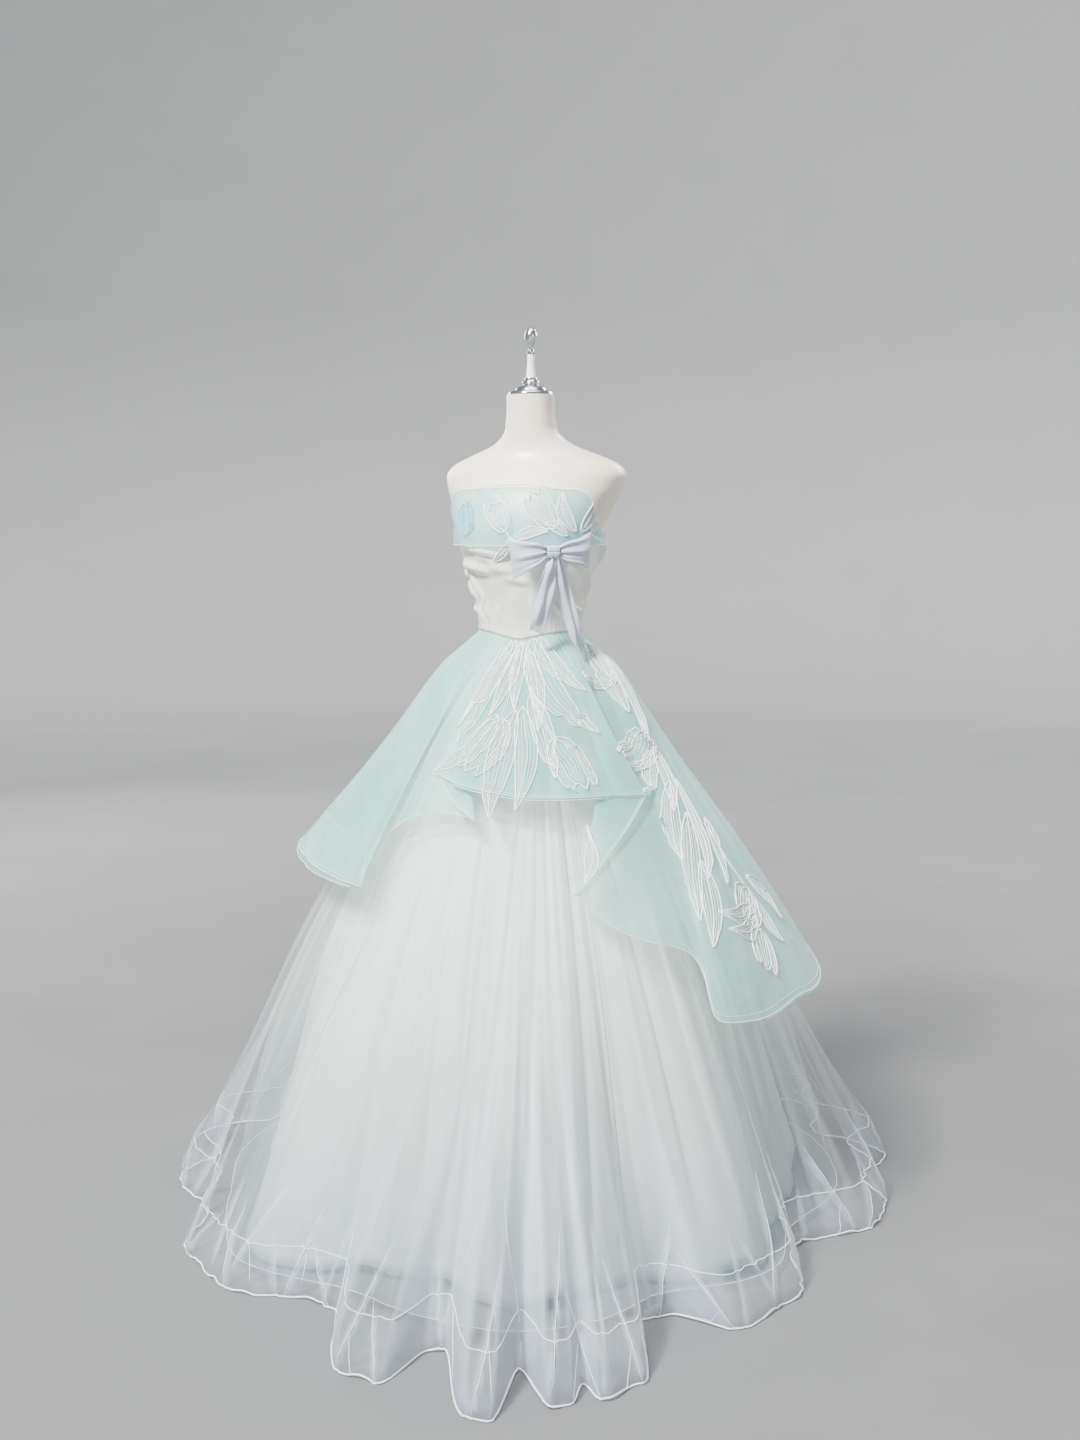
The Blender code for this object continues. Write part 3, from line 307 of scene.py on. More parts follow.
TULLE_CREASES = np.array([
    (-177, 0.9, 0.006, 1, 0.12, 0.8), (-170, 1.3, -0.005, 2, 0.5, 1.29),
    (-163, 0.8, 0.007, -1, 0.7, 1.29), (-157, 1.1, 0.005, 1, 0.1, 1.1),
    (-149, 1.4, -0.006, 2, 0.3, 1.29), (-145, 0.7, 0.006, 0, 0.8, 1.29),
    (-138, 1.0, 0.007, -2, 0.15, 1.0), (-130, 1.2, -0.005, 1, 0.55, 1.29),
    (-122, 0.8, 0.006, 2, 0.1, 0.9), (-117, 1.0, -0.006, -1, 0.65, 1.29),
    (-109, 1.4, 0.005, 1, 0.22, 1.29), (-101, 0.8, 0.007, 0, 0.75, 1.29),
    (-95, 1.1, -0.005, 2, 0.12, 1.05), (-88, 0.9, 0.006, -1, 0.4, 1.29),
    (-80, 1.3, -0.006, 1, 0.62, 1.29), (-74, 0.8, 0.006, 2, 0.1, 0.85),
    (-66, 1.0, 0.005, -1, 0.3, 1.29), (-60, 0.8, -0.007, 1, 0.7, 1.29),
    (-52, 1.2, 0.006, 2, 0.14, 1.15), (-46, 0.7, 0.006, 0, 0.82, 1.29),
    (-41, 1.0, -0.006, 1, 0.35, 1.29), (-33, 0.9, 0.006, 2, 0.5, 1.29),
    (-28, 0.7, -0.006, -1, 0.75, 1.29), (-21, 1.0, 0.007, 1, 0.2, 1.24),
    (-17, 0.6, -0.006, 0, 0.66, 1.29), (-11, 0.8, 0.006, 2, 0.4, 1.29),
    (-6, 0.6, -0.007, 1, 0.85, 1.27), (-2, 0.7, 0.007, -1, 0.28, 1.26),
    (2, 0.5, -0.007, 1, 0.7, 1.29), (5, 0.6, 0.007, 0, 0.45, 1.29), (9, 0.5, 0.006, 1, 0.8, 1.29),
    (12, 0.6, -0.006, -1, 0.3, 1.26), (15, 0.5, 0.007, 0, 0.6, 1.29),
    (18, 0.5, -0.007, 1, 0.75, 1.29), (21, 0.5, 0.006, 0, 0.35, 1.29),
    (25, 0.6, 0.007, 1, 0.55, 1.29), (27, 0.5, -0.006, 0, 0.82, 1.29),
    (31, 0.7, 0.007, 2, 0.25, 1.29), (35, 0.8, -0.006, 1, 0.6, 1.29),
    (40, 0.8, 0.006, 1, 0.42, 1.29), (46, 1.0, -0.006, 2, 0.7, 1.29),
    (51, 0.8, 0.007, -1, 0.3, 1.29), (57, 1.1, 0.006, 1, 0.55, 1.29),
    (63, 0.8, -0.007, 2, 0.75, 1.29), (69, 1.0, 0.006, -1, 0.2, 1.15),
    (76, 0.9, -0.006, 1, 0.5, 1.29), (82, 1.2, 0.007, 2, 0.12, 1.29),
    (90, 0.8, -0.006, 0, 0.68, 1.29), (98, 1.0, 0.006, 1, 0.35, 1.29),
    (107, 1.3, -0.006, 2, 0.15, 1.1), (113, 0.8, 0.007, -1, 0.72, 1.29),
    (121, 1.0, 0.005, 1, 0.1, 0.95), (128, 1.2, -0.006, 2, 0.55, 1.29),
    (136, 0.8, 0.006, 0, 0.3, 1.29), (144, 1.1, -0.005, 1, 0.8, 1.29),
    (151, 0.9, 0.007, -2, 0.12, 1.05), (160, 1.2, 0.006, 1, 0.45, 1.29),
    (167, 0.8, -0.006, 2, 0.68, 1.29), (175, 1.0, 0.006, 0, 0.25, 1.29),
])

# Sharp short creases of the stiffened hem band, placed as the long ones are
HEM_CRINKLES = np.array([
    (-176, 0.45, 0.007, 3, 1.12, 1.3), (-171, 0.35, -0.006, -4, 1.17, 1.3),
    (-165, 0.5, 0.006, 2, 1.2, 1.31), (-159, 0.35, 0.007, -3, 1.1, 1.28),
    (-152, 0.4, -0.006, 5, 1.15, 1.3), (-146, 0.55, 0.006, -2, 1.19, 1.31),
    (-139, 0.35, 0.007, 4, 1.13, 1.29), (-133, 0.45, -0.006, -3, 1.18, 1.3),
    (-126, 0.4, 0.007, 2, 1.11, 1.3), (-120, 0.5, 0.006, -5, 1.2, 1.31),
    (-113, 0.35, -0.006, 3, 1.14, 1.29), (-107, 0.45, 0.007, -2, 1.17, 1.3),
    (-100, 0.4, 0.006, 4, 1.12, 1.3), (-94, 0.5, -0.006, -3, 1.19, 1.31),
    (-88, 0.35, 0.007, 5, 1.15, 1.29), (-83, 0.4, 0.007, -3, 1.1, 1.27),
    (-77, 0.45, -0.006, 2, 1.18, 1.3), (-71, 0.4, 0.007, -4, 1.13, 1.3),
    (-66, 0.35, 0.006, 3, 1.2, 1.31), (-60, 0.45, -0.007, -2, 1.12, 1.29),
    (-55, 0.35, 0.007, 5, 1.17, 1.3), (-50, 0.4, 0.007, -6, 1.09, 1.29),
    (-45, 0.3, -0.006, 3, 1.18, 1.31), (-40, 0.4, 0.007, 4, 1.14, 1.3),
    (-36, 0.3, 0.007, -5, 1.19, 1.3), (-31, 0.35, -0.006, 2, 1.11, 1.28),
    (-27, 0.3, 0.008, 4, 1.16, 1.3), (-23, 0.35, 0.007, -4, 1.08, 1.27),
    (-19.5, 0.25, -0.006, 3, 1.17, 1.31), (-16, 0.3, 0.008, -2, 1.13, 1.3),
    (-12.5, 0.25, 0.007, 5, 1.19, 1.31), (-10, 0.25, -0.007, -3, 1.1, 1.3),
    (-7.5, 0.22, 0.008, 4, 1.14, 1.3), (-5, 0.25, 0.007, -2, 1.05, 1.26),
    (-2.5, 0.2, -0.007, 3, 1.16, 1.31), (0, 0.22, 0.008, -3, 1.12, 1.3),
    (2.5, 0.2, 0.007, 2, 1.19, 1.31), (5, 0.2, -0.008, -2, 1.02, 1.28),
    (7, 0.2, 0.008, 2, 1.13, 1.3), (9.5, 0.2, 0.008, -3, 1.08, 1.27),
    (12, 0.18, -0.007, 2, 1.17, 1.31), (14, 0.2, 0.008, -2, 1.11, 1.3),
    (16, 0.18, 0.008, 2, 1.04, 1.29), (18.5, 0.2, -0.008, 1, 1.14, 1.31),
    (20.5, 0.18, 0.008, -2, 1.09, 1.28), (23, 0.2, 0.007, 2, 1.16, 1.31),
    (25, 0.18, -0.008, -1, 1.06, 1.3), (27.5, 0.22, 0.008, 3, 1.13, 1.3),
    (30.5, 0.22, 0.007, -3, 1.18, 1.31), (33.5, 0.25, -0.007, 2, 1.1, 1.29),
    (37, 0.25, 0.008, -4, 1.15, 1.3), (41, 0.3, 0.007, 3, 1.19, 1.31),
    (45, 0.3, -0.007, -2, 1.12, 1.3), (49, 0.3, 0.008, 4, 1.16, 1.3),
    (53, 0.35, 0.007, -4, 1.09, 1.28), (58, 0.35, -0.006, 2, 1.18, 1.31),
    (63, 0.35, 0.008, -3, 1.13, 1.3), (68, 0.4, 0.007, 3, 1.1, 1.29),
    (73, 0.4, -0.007, -2, 1.17, 1.31), (79, 0.4, 0.007, 4, 1.12, 1.3),
    (85, 0.45, 0.007, -4, 1.18, 1.31), (91, 0.4, -0.006, 2, 1.14, 1.29),
    (97, 0.45, 0.007, -2, 1.11, 1.3), (104, 0.4, 0.006, 4, 1.19, 1.31),
    (111, 0.5, -0.006, -3, 1.13, 1.29), (118, 0.4, 0.007, 2, 1.16, 1.3),
    (125, 0.45, 0.006, -4, 1.1, 1.28), (132, 0.4, -0.006, 3, 1.18, 1.31),
    (139, 0.5, 0.007, -2, 1.14, 1.3), (146, 0.4, 0.006, 5, 1.19, 1.31),
    (153, 0.45, -0.006, -3, 1.12, 1.29), (160, 0.4, 0.007, 2, 1.17, 1.3),
    (167, 0.5, 0.006, -4, 1.11, 1.3), (174, 0.4, -0.006, 3, 1.18, 1.31),
])

# Creases of the overskirt: angle at the waist, half width, depth, lean, start and end
# as shares of its length
OVERSKIRT_CREASES = np.array([
    (-172, 2.0, 0.004, 2, 0.04, 0.6), (-162, 1.5, -0.005, -2, 0.02, 0.85),
    (-150, 2.2, 0.005, 1, 0.2, 1.05), (-139, 1.4, -0.004, 2, 0.03, 0.7),
    (-127, 2.0, 0.005, -1, 0.1, 1.05), (-114, 1.6, -0.005, 2, 0.02, 0.9),
    (-103, 1.3, 0.004, 1, 0.3, 1.05), (-90, 1.8, -0.005, -2, 0.04, 0.75),
    (-76, 1.5, 0.005, 2, 0.02, 0.95), (-66, 1.2, -0.006, 1, 0.25, 1.05),
    (-57, 1.8, 0.004, -1, 0.05, 0.8), (-49, 1.0, -0.005, 1, 0.02, 0.65),
    (-42, 1.2, 0.005, 1, 0.3, 1.05), (-9, 1.0, -0.004, 1, 0.35, 1.05),
    (-2, 1.3, 0.003, -1, 0.05, 0.5), (6, 1.6, -0.004, 1, 0.5, 1.05), (15, 1.4, 0.003, 1, 0.6, 1.05),
    (23, 1.8, -0.004, 0, 0.45, 1.05), (33, 1.4, 0.004, 1, 0.55, 1.05),
    (43, 1.3, -0.004, 1, 0.3, 1.05), (84, 1.4, 0.004, 1, 0.3, 1.05),
    (91, 1.8, -0.005, -1, 0.05, 0.95), (102, 1.5, 0.005, 2, 0.2, 1.05),
    (113, 1.2, -0.005, 1, 0.02, 0.85), (124, 2.0, 0.005, -2, 0.3, 1.05),
    (136, 1.5, -0.004, 2, 0.03, 0.75), (149, 1.8, 0.005, 1, 0.15, 1.05),
    (161, 1.4, -0.005, -1, 0.02, 0.9), (172, 2.0, 0.004, 2, 0.1, 0.7),
])

# Creases of the bodice and the band: from (angle, height) to (angle, height), half width
# in metres, depth
BODICE_CREASES = (
    ((-66, 1.318), (-8, 1.3), 0.008, 0.0066), ((-76, 1.282), (-28, 1.266), 0.0088, 0.009),
    ((-32, 1.276), (6, 1.269), 0.01, 0.005), ((-50, 1.299), (-20, 1.286), 0.005, 0.0026),
    ((-14, 1.257), (18, 1.246), 0.0075, 0.0044), ((-66, 1.262), (-45, 1.206), 0.0052, 0.0076),
    ((-49, 1.212), (-41, 1.168), 0.0054, 0.006), ((-80, 1.25), (-64, 1.212), 0.005, 0.0062),
    ((-88, 1.27), (-68, 1.257), 0.0055, 0.006), ((-90, 1.232), (-72, 1.221), 0.0045, 0.0052),
    ((-63, 1.2), (-51, 1.166), 0.0042, 0.0046), ((-86, 1.197), (-64, 1.184), 0.0042, 0.0048),
    ((-30, 1.2), (-24, 1.166), 0.007, 0.0022), ((-6, 1.226), (4, 1.178), 0.012, 0.002),
    ((16, 1.224), (24, 1.172), 0.01, 0.0022), ((60, 1.3), (86, 1.286), 0.006, 0.0052),
    ((63, 1.284), (76, 1.226), 0.0055, 0.0078), ((84, 1.268), (91, 1.214), 0.0045, 0.006),
    ((53, 1.246), (70, 1.206), 0.005, 0.0062), ((47, 1.206), (60, 1.168), 0.0048, 0.0048),
    ((66, 1.197), (90, 1.182), 0.0042, 0.005), ((38, 1.262), (46, 1.212), 0.0065, 0.0034),
    ((98, 1.288), (126, 1.262), 0.006, 0.0054), ((104, 1.24), (138, 1.218), 0.0055, 0.0044),
    ((96, 1.206), (118, 1.192), 0.0045, 0.005), ((122, 1.196), (134, 1.166), 0.005, 0.0036),
    ((150, 1.222), (174, 1.204), 0.0055, 0.0038), ((146, 1.186), (160, 1.168), 0.005, 0.0032),
    ((-128, 1.286), (-100, 1.268), 0.006, 0.0054), ((-136, 1.242), (-106, 1.226), 0.0055, 0.0044),
    ((-118, 1.204), (-98, 1.19), 0.0045, 0.005), ((-134, 1.196), (-124, 1.168), 0.005, 0.0036),
    ((-172, 1.226), (-148, 1.208), 0.0055, 0.0038), ((-160, 1.188), (-146, 1.168), 0.005, 0.0032),
)
BAND_CREASES = (
    ((-74, 1.412), (-40, 1.398), 0.005, -0.002), ((-80, 1.385), (-52, 1.352), 0.006, 0.0018),
    ((-66, 1.366), (-30, 1.342), 0.005, -0.0016), ((-34, 1.42), (-12, 1.392), 0.006, -0.0014),
    ((-22, 1.372), (6, 1.35), 0.0055, 0.0014), ((4, 1.41), (26, 1.398), 0.005, -0.0012),
    ((30, 1.386), (58, 1.364), 0.0055, -0.0016), ((48, 1.414), (76, 1.384), 0.006, 0.0018),
    ((60, 1.356), (90, 1.33), 0.0055, -0.0018), ((104, 1.33), (136, 1.312), 0.0055, -0.0018),
    ((128, 1.296), (160, 1.302), 0.0055, 0.0014), ((146, 1.322), (176, 1.316), 0.005, -0.0014),
    ((-136, 1.328), (-104, 1.312), 0.0055, -0.0018), ((-162, 1.3), (-130, 1.296), 0.0055, 0.0014),
    ((-176, 1.32), (-148, 1.314), 0.005, -0.0014),
)

# Half sections of the turned pieces on the neck: radius, height above the piece's foot
NECK_TOP = 1.6213
CAP_SECTION = (
    (0.0112, 0.0235), (0.0112, 0.033), (0.0117, 0.0338), (0.0126, 0.0338), (0.0131, 0.033),
    (0.0131, 0.0292), (0.015, 0.0281), (0.017, 0.0264), (0.0178, 0.0241), (0.0171, 0.0219),
    (0.0152, 0.0204), (0.016, 0.0192), (0.0205, 0.0178), (0.0265, 0.0153), (0.0308, 0.0122),
    (0.0322, 0.0092), (0.0346, 0.0083), (0.0415, 0.0068), (0.0447, 0.0052), (0.0459, 0.0034),
    (0.0462, 0.0),
)
SPINDLE_SECTION = (
    (0.006, 0.057), (0.007, 0.0565), (0.0074, 0.055), (0.0076, 0.045), (0.0078, 0.035),
    (0.0086, 0.024), (0.0098, 0.012), (0.0105, 0.005), (0.0107, 0.002), (0.0104, 0.0),
)
KNOB_SECTION = (
    (0.0008, 0.052), (0.0045, 0.051), (0.009, 0.047), (0.0125, 0.0395), (0.013, 0.032),
    (0.011, 0.024), (0.007, 0.017), (0.0052, 0.011), (0.0062, 0.005),
)
KNOB_FOOT = ((0.0085, 0.0035), (0.0085, 0.0000))

# Embroidered flowers and leaves: kind, base and tip (angle, distance down the slope), half
# width in metres, bend in metres. All are plain garden forms in their own layout
SKIRT_MOTIFS = (
    ("stem", (1.5, 0.006), (4.0, 0.186), 0.0022, 0.006),
    ("tulip", (4.0, 0.180), (-7.0, 0.290), 0.0389, 0.004),
    ("stem", (15.0, 0.006), (28.5, 0.228), 0.0022, -0.012),
    ("tulip", (28.5, 0.220), (38.0, 0.324), 0.0368, -0.003),
    ("leaf", (-9.0, 0.004), (-23.0, 0.200), 0.0201, 0.014),
    ("leaf", (-2.0, 0.004), (-14.5, 0.236), 0.0200, -0.008),
    ("leaf", (4.5, 0.006), (-3.5, 0.176), 0.0140, 0.008),
    ("leaf", (1.0, 0.172), (-21.0, 0.296), 0.0236, 0.016),
    ("leaf", (21.0, 0.003), (50.0, 0.214), 0.0307, -0.026),
    ("leaf", (29.0, 0.004), (50.0, 0.124), 0.0201, -0.014),
    ("leaf", (16.5, 0.030), (21.5, 0.205), 0.0150, 0.008),
    ("leaf", (10.0, 0.160), (5.5, 0.388), 0.0260, -0.014),
    ("leaf", (13.5, 0.152), (13.0, 0.366), 0.0224, 0.012),
    ("leaf", (17.0, 0.126), (26.0, 0.304), 0.0201, 0.012),
    ("leaf", (9.5, 0.008), (9.5, 0.160), 0.0135, -0.005),
    ("leaf", (77.0, 0.024), (73.0, 0.112), 0.0195, 0.008),
    ("leaf", (80.0, 0.022), (72.5, 0.176), 0.0225, -0.010),
    ("leaf", (70.0, 0.112), (57.5, 0.084), 0.0135, 0.004),
    ("leaf", (86.0, 0.060), (78.0, 0.232), 0.0210, 0.012),
    ("tulip", (76.0, 0.222), (63.0, 0.262), 0.0405, 0.003),
    ("stem", (79.0, 0.090), (76.0, 0.226), 0.0016, 0.008),
    ("leaf", (74.0, 0.262), (63.5, 0.342), 0.0170, -0.010),
    ("leaf", (77.0, 0.256), (68.0, 0.392), 0.0180, 0.012),
    ("leaf", (74.5, 0.330), (61.0, 0.486), 0.0200, -0.014),
    ("leaf", (80.0, 0.330), (67.5, 0.540), 0.0185, 0.012),
    ("leaf", (73.0, 0.400), (59.0, 0.612), 0.0215, -0.012),
    ("leaf", (84.0, 0.420), (74.0, 0.560), 0.0180, 0.010),
    ("leaf", (68.0, 0.500), (59.5, 0.668), 0.0225, 0.008),
    ("stem", (82.0, 0.430), (84.0, 0.586), 0.0016, -0.008),
    ("tulip", (84.0, 0.580), (75.5, 0.630), 0.0435, 0.003),
    ("leaf", (80.0, 0.612), (65.5, 0.604), 0.0195, 0.020),
    ("leaf", (80.5, 0.632), (66.0, 0.642), 0.0195, 0.022),
    ("stem", (81.0, 0.600), (78.5, 0.664), 0.0016, 0.004),
    ("tulip", (78.5, 0.660), (73.5, 0.738), 0.0405, -0.002),
    ("leaf", (85.0, 0.610), (86.5, 0.708), 0.0180, -0.010),
    ("leaf", (88.0, 0.560), (93.0, 0.676), 0.0210, 0.010),
    ("leaf", (35.0, 0.424), (31.5, 0.512), 0.0130, 0.006),
)
# The band's own: the same columns, with heights in place of distances down the slope
BAND_MOTIFS = (
    ("tulip", (-3.0, 1.350), (-20.0, 1.406), 0.022, -0.002),
    ("stem", (4.0, 1.332), (-3.0, 1.352), 0.0013, 0.002),
    ("tulip", (47.0, 1.358), (15.0, 1.428), 0.027, 0.003),
    ("leaf", (62.0, 1.348), (49.0, 1.428), 0.014, 0.010),
    ("leaf", (66.0, 1.348), (71.0, 1.418), 0.012, -0.007),
    ("leaf", (4.0, 1.334), (40.0, 1.350), 0.010, 0.007),
    ("leaf", (57.0, 1.342), (34.0, 1.366), 0.010, -0.006),
    ("leaf", (3.0, 1.334), (-22.0, 1.284), 0.0075, 0.004),
    ("leaf", (73.0, 1.340), (83.0, 1.398), 0.010, 0.005),
)
BAND_BLUE_MOTIFS = (("tulip", (-47.0, 1.342), (-55.0, 1.404), 0.021, 0.002),)
# Half outlines of a tulip: share of its length, share of its half width
TULIP_SIDE = ((0.0, 0.06), (0.03, 0.34), (0.14, 0.68), (0.34, 0.93), (0.60, 1.00), (0.82, 0.93),
              (1.00, 0.70))
TULIP_LIP = ((1.00, 0.70), (0.93, 0.56), (0.86, 0.42), (0.94, 0.22), (1.03, 0.0))
TULIP_PETAL = ((0.02, 0.03), (0.18, 0.36), (0.44, 0.52), (0.70, 0.50), (0.86, 0.42))
# Long lines within a leaf: share of its half width, where each starts and ends
LEAF_LINES = ((-0.68, 0.16, 0.88), (-0.34, 0.10, 0.94), (0.32, 0.08, 0.90), (0.66, 0.14, 0.86))


# Sections, the same sums as the solids', worked out for whole grids at once

def curve_through(x, xs, ys):
    slopes = np.gradient(ys, xs)
    x = np.clip(x, xs[0], xs[-1])
    i = np.clip(np.searchsorted(xs, x, side="right") - 1, 0, len(xs) - 2)
    width = xs[i + 1] - xs[i]
    t = (x - xs[i]) / width
    start = ys[i] * (1 + 2 * t) * (1 - t) ** 2 + slopes[i] * width * t * (1 - t) ** 2
    end = ys[i + 1] * t * t * (3 - 2 * t) + slopes[i + 1] * width * t * t * (t - 1)
    return start + end


def wave_through(x, xs, ys):
    i = np.clip(np.searchsorted(xs, x, side="right") - 1, 0, len(xs) - 2)
    t = (x - xs[i]) / (xs[i + 1] - xs[i])
    return ys[i] + (ys[i + 1] - ys[i]) * (1 - np.cos(pi * t)) / 2


def ease(value, low, high):
    t = np.clip((value - low) / (high - low), 0.0, 1.0)
    return t * t * (3 - 2 * t)


def mix(first, second, share):
    return first + (second - first) * share


def bell(value, spread):
    return np.exp(-((value / spread) ** 2))


def at(angle, radius, height):
    turn = np.radians(angle)
    return np.stack(np.broadcast_arrays(radius * np.sin(turn), -radius * np.cos(turn), height), -1)


def torso(angle, height, outward):
    width, front, back, behind = (
        curve_through(height, TORSO[:, 0], TORSO[:, k]) for k in range(1, 5))
    turn = np.radians(angle)
    depth = np.where(np.cos(turn) > 0, front, back)
    across = np.abs(np.sin(turn) / width) ** SECTION_POWER
    along = np.abs(np.cos(turn) / depth) ** SECTION_POWER
    bust_height, bust_tall, bust_angle, bust_spread, bust_rise = BUST
    bust = bust_rise * bell(height - bust_height, bust_tall)
    bust = bust * bell(np.abs(angle) - bust_angle, bust_spread)
    radius = (across + along) ** (-1 / SECTION_POWER) + bust + outward
    points = at(angle, radius, height)
    points[..., 1] += behind
    return points


def waist_height(angle):
    return WAIST_HEIGHT - WAIST_DIP * bell(angle, WAIST_DIP_SPREAD)


def measured_line():
    heights = np.linspace(SKIRT_LINE[0, 0], SKIRT_LINE[-1, 0], 400)
    radii = curve_through(-heights, -SKIRT_LINE[:, 0], SKIRT_LINE[:, 1])
    steps = np.hypot(np.diff(heights), np.diff(radii))
    return np.concatenate([[0.0], np.cumsum(steps)]), radii, heights


SLOPE, LINE_RADIUS, LINE_HEIGHT = measured_line()
SLOPE_LENGTH = float(SLOPE[-1])
TULLE_HEM = SLOPE_LENGTH - FLOOR_GAP - CORD_ROOM


def waist_ring(angle):
    ring = torso(angle, waist_height(angle), WAIST_EASE + SATIN_WALL / 2)
    return np.linalg.norm(ring[..., :2], axis=-1)


def squareness(down):
    near = np.interp(down - 0.004, SLOPE, LINE_HEIGHT)
    far = np.interp(down + 0.004, SLOPE, LINE_HEIGHT)
    return np.clip((near - far) / 0.008, 0.5, 1.0)


def skirt(angle, down, outward, reach=0.0):
    radius = np.interp(down, SLOPE, LINE_RADIUS)
    height = np.interp(down, SLOPE, LINE_HEIGHT)
    flat = (LINE_RADIUS[0] - waist_ring(angle)) * (1 - ease(down, 0.0, ROUND_BY))
    dip = (WAIST_HEIGHT - waist_height(angle)) * (1 - ease(down, 0.0, 0.20))
    return at(angle, radius - flat + outward / squareness(down) + reach, height - dip)


def hem_reach(down, hem_radius, inward):
    full = hem_radius - (LINE_RADIUS[-1] - inward / squareness(SLOPE_LENGTH - 0.01))
    left = bell(SLOPE_LENGTH - down, WAVE_FADE)
    return full * left * ease(down, 0.0, SLOPE_LENGTH * 0.6)


def creases(table, angle, down, steep=1.0):
    """Soft troughs and ridges down a skirt: each fades in and out along its own length, and
    falls away on its wearer's right in this share of its width."""
    total = np.zeros(np.broadcast_shapes(np.shape(angle), np.shape(down)))
    for middle, width, depth, lean, start, end in table:
        share = (down - start) / (end - start)
        aside = (angle - middle - lean * (share - 0.5) + 180.0) % 360.0 - 180.0
        fade = ease(share, 0.0, 0.35) * (1 - ease(share, 0.82, 1.08))
        width = width * np.where(aside < 0, steep, 1.0)
        total += depth * fade * bell(aside, width * (0.75 + 0.5 * np.clip(share, 0, 1)))
    return total


def segment_creases(table, angle, height):
    """Soft creases across the body, each along a straight line of angle and height."""
    total = np.zeros(np.broadcast_shapes(np.shape(angle), np.shape(height)))
    for (a0, z0), (a1, z1), width, depth in table:
        per_degree = radians(BODY_RADIUS)
        dx, dz = (a1 - a0) * per_degree, z1 - z0
        length = float(np.hypot(dx, dz))
        x, z = (angle - a0) * per_degree, height - z0
        share = (x * dx + z * dz) / length ** 2
        aside = (z * dx - x * dz) / length
        fade = ease(share, -0.12, 0.3) * (1 - ease(share, 0.6, 1.12))
        steep = np.where(aside < 0, 0.65, 1.25)
        total += depth * fade * bell(aside, steep * width * (1.25 - 0.5 * np.clip(share, 0, 1)))
    return total


def gathers(angle, depth, down, start, end):
    """Fine, uneven gathers where cloth is drawn into the waist seam."""
    turn = np.radians(angle)
    wave = np.sin(turn * 61 + 2.1 * np.sin(turn * 7))
    wave = wave + 0.6 * np.sin(turn * 97 + 1.7 * np.sin(turn * 11))
    return depth * wave * ease(down, 0.0, start) * (1 - ease(down, start, end))


# Mesh makers

def mesh_object(name, points, faces, finish):
    mesh = bpy.data.meshes.new(name)
    faces = faces if isinstance(faces, list) else faces.tolist()
    mesh.from_pydata(np.asarray(points).reshape(-1, 3).tolist(), [], faces)
    mesh.shade_smooth()
    mesh.materials.append(finish)
    obj = bpy.data.objects.new(name, mesh)
    bpy.context.scene.collection.objects.link(obj)
    return obj


def grid_faces(columns, rows, wrap=False):
    index = np.arange(columns * rows).reshape(columns, rows)
    if wrap:
        index = np.vstack([index, index[:1]])
    corners_of = (index[:-1, :-1], index[:-1, 1:], index[1:, 1:], index[1:, :-1])
    return np.stack(corners_of, -1).reshape(-1, 4)


def add_cut(obj, places, faces):
    """The UV map of a cloth, which holds places on the cut cloth in metres."""
    layer = obj.data.uv_layers.new(name="cut")
    layer.data.foreach_set("uv", places[faces.ravel()].ravel().astype(np.float32))


def cloth(name, points, finish, wall=0.0, density=None):
    """A cloth piece from a grid of columns by rows, top row first. Its point attribute
    holds how closely the cloth is gathered."""
    columns, rows = points.shape[:2]
    faces = grid_faces(columns, rows)
    obj = mesh_object(name, points, faces, finish)
    across = np.concatenate([np.zeros((1, rows)), np.cumsum(
        np.linalg.norm(np.diff(points, axis=0), axis=2), axis=0)])
    across -= across[columns // 2]
    along = np.concatenate([np.zeros((columns, 1)), np.cumsum(
        np.linalg.norm(np.diff(points, axis=1), axis=2), axis=1)], axis=1)
    add_cut(obj, np.stack([across, along], -1).reshape(-1, 2), faces)
    if density is not None:
        gathered = np.broadcast_to(density, (columns, rows)).ravel().astype(np.float32)
        attribute = obj.data.attributes.new("gathered", "FLOAT", "POINT")
        attribute.data.foreach_set("value", gathered)
    if wall:
        solid = obj.modifiers.new("Wall", "SOLIDIFY")
        solid.thickness = wall
        solid.offset = 0.0
    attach(obj, "root")
    return obj


def closed_round(name, points, finish, sharp):
    """A round piece from columns that go all the way round, capped at both ends."""
    columns, rows = points.shape[:2]
    index = np.arange(columns * rows).reshape(columns, rows)
    faces = grid_faces(columns, rows, wrap=True).tolist()
    faces += [index[:, 0].tolist(), index[::-1, -1].tolist()]
    obj = mesh_object(name, points, faces, finish)
    obj.data.set_sharp_from_angle(angle=radians(sharp))
    return obj


def draw_back(points, gap=SEAM_GAP):
    """Draws the two long edges back by half a seam's gap."""
    for edge, beside in ((0, 1), (-1, -2)):
        step = points[beside] - points[edge]
        points[edge] += step / np.linalg.norm(step, axis=1, keepdims=True) * gap / 2
    return points


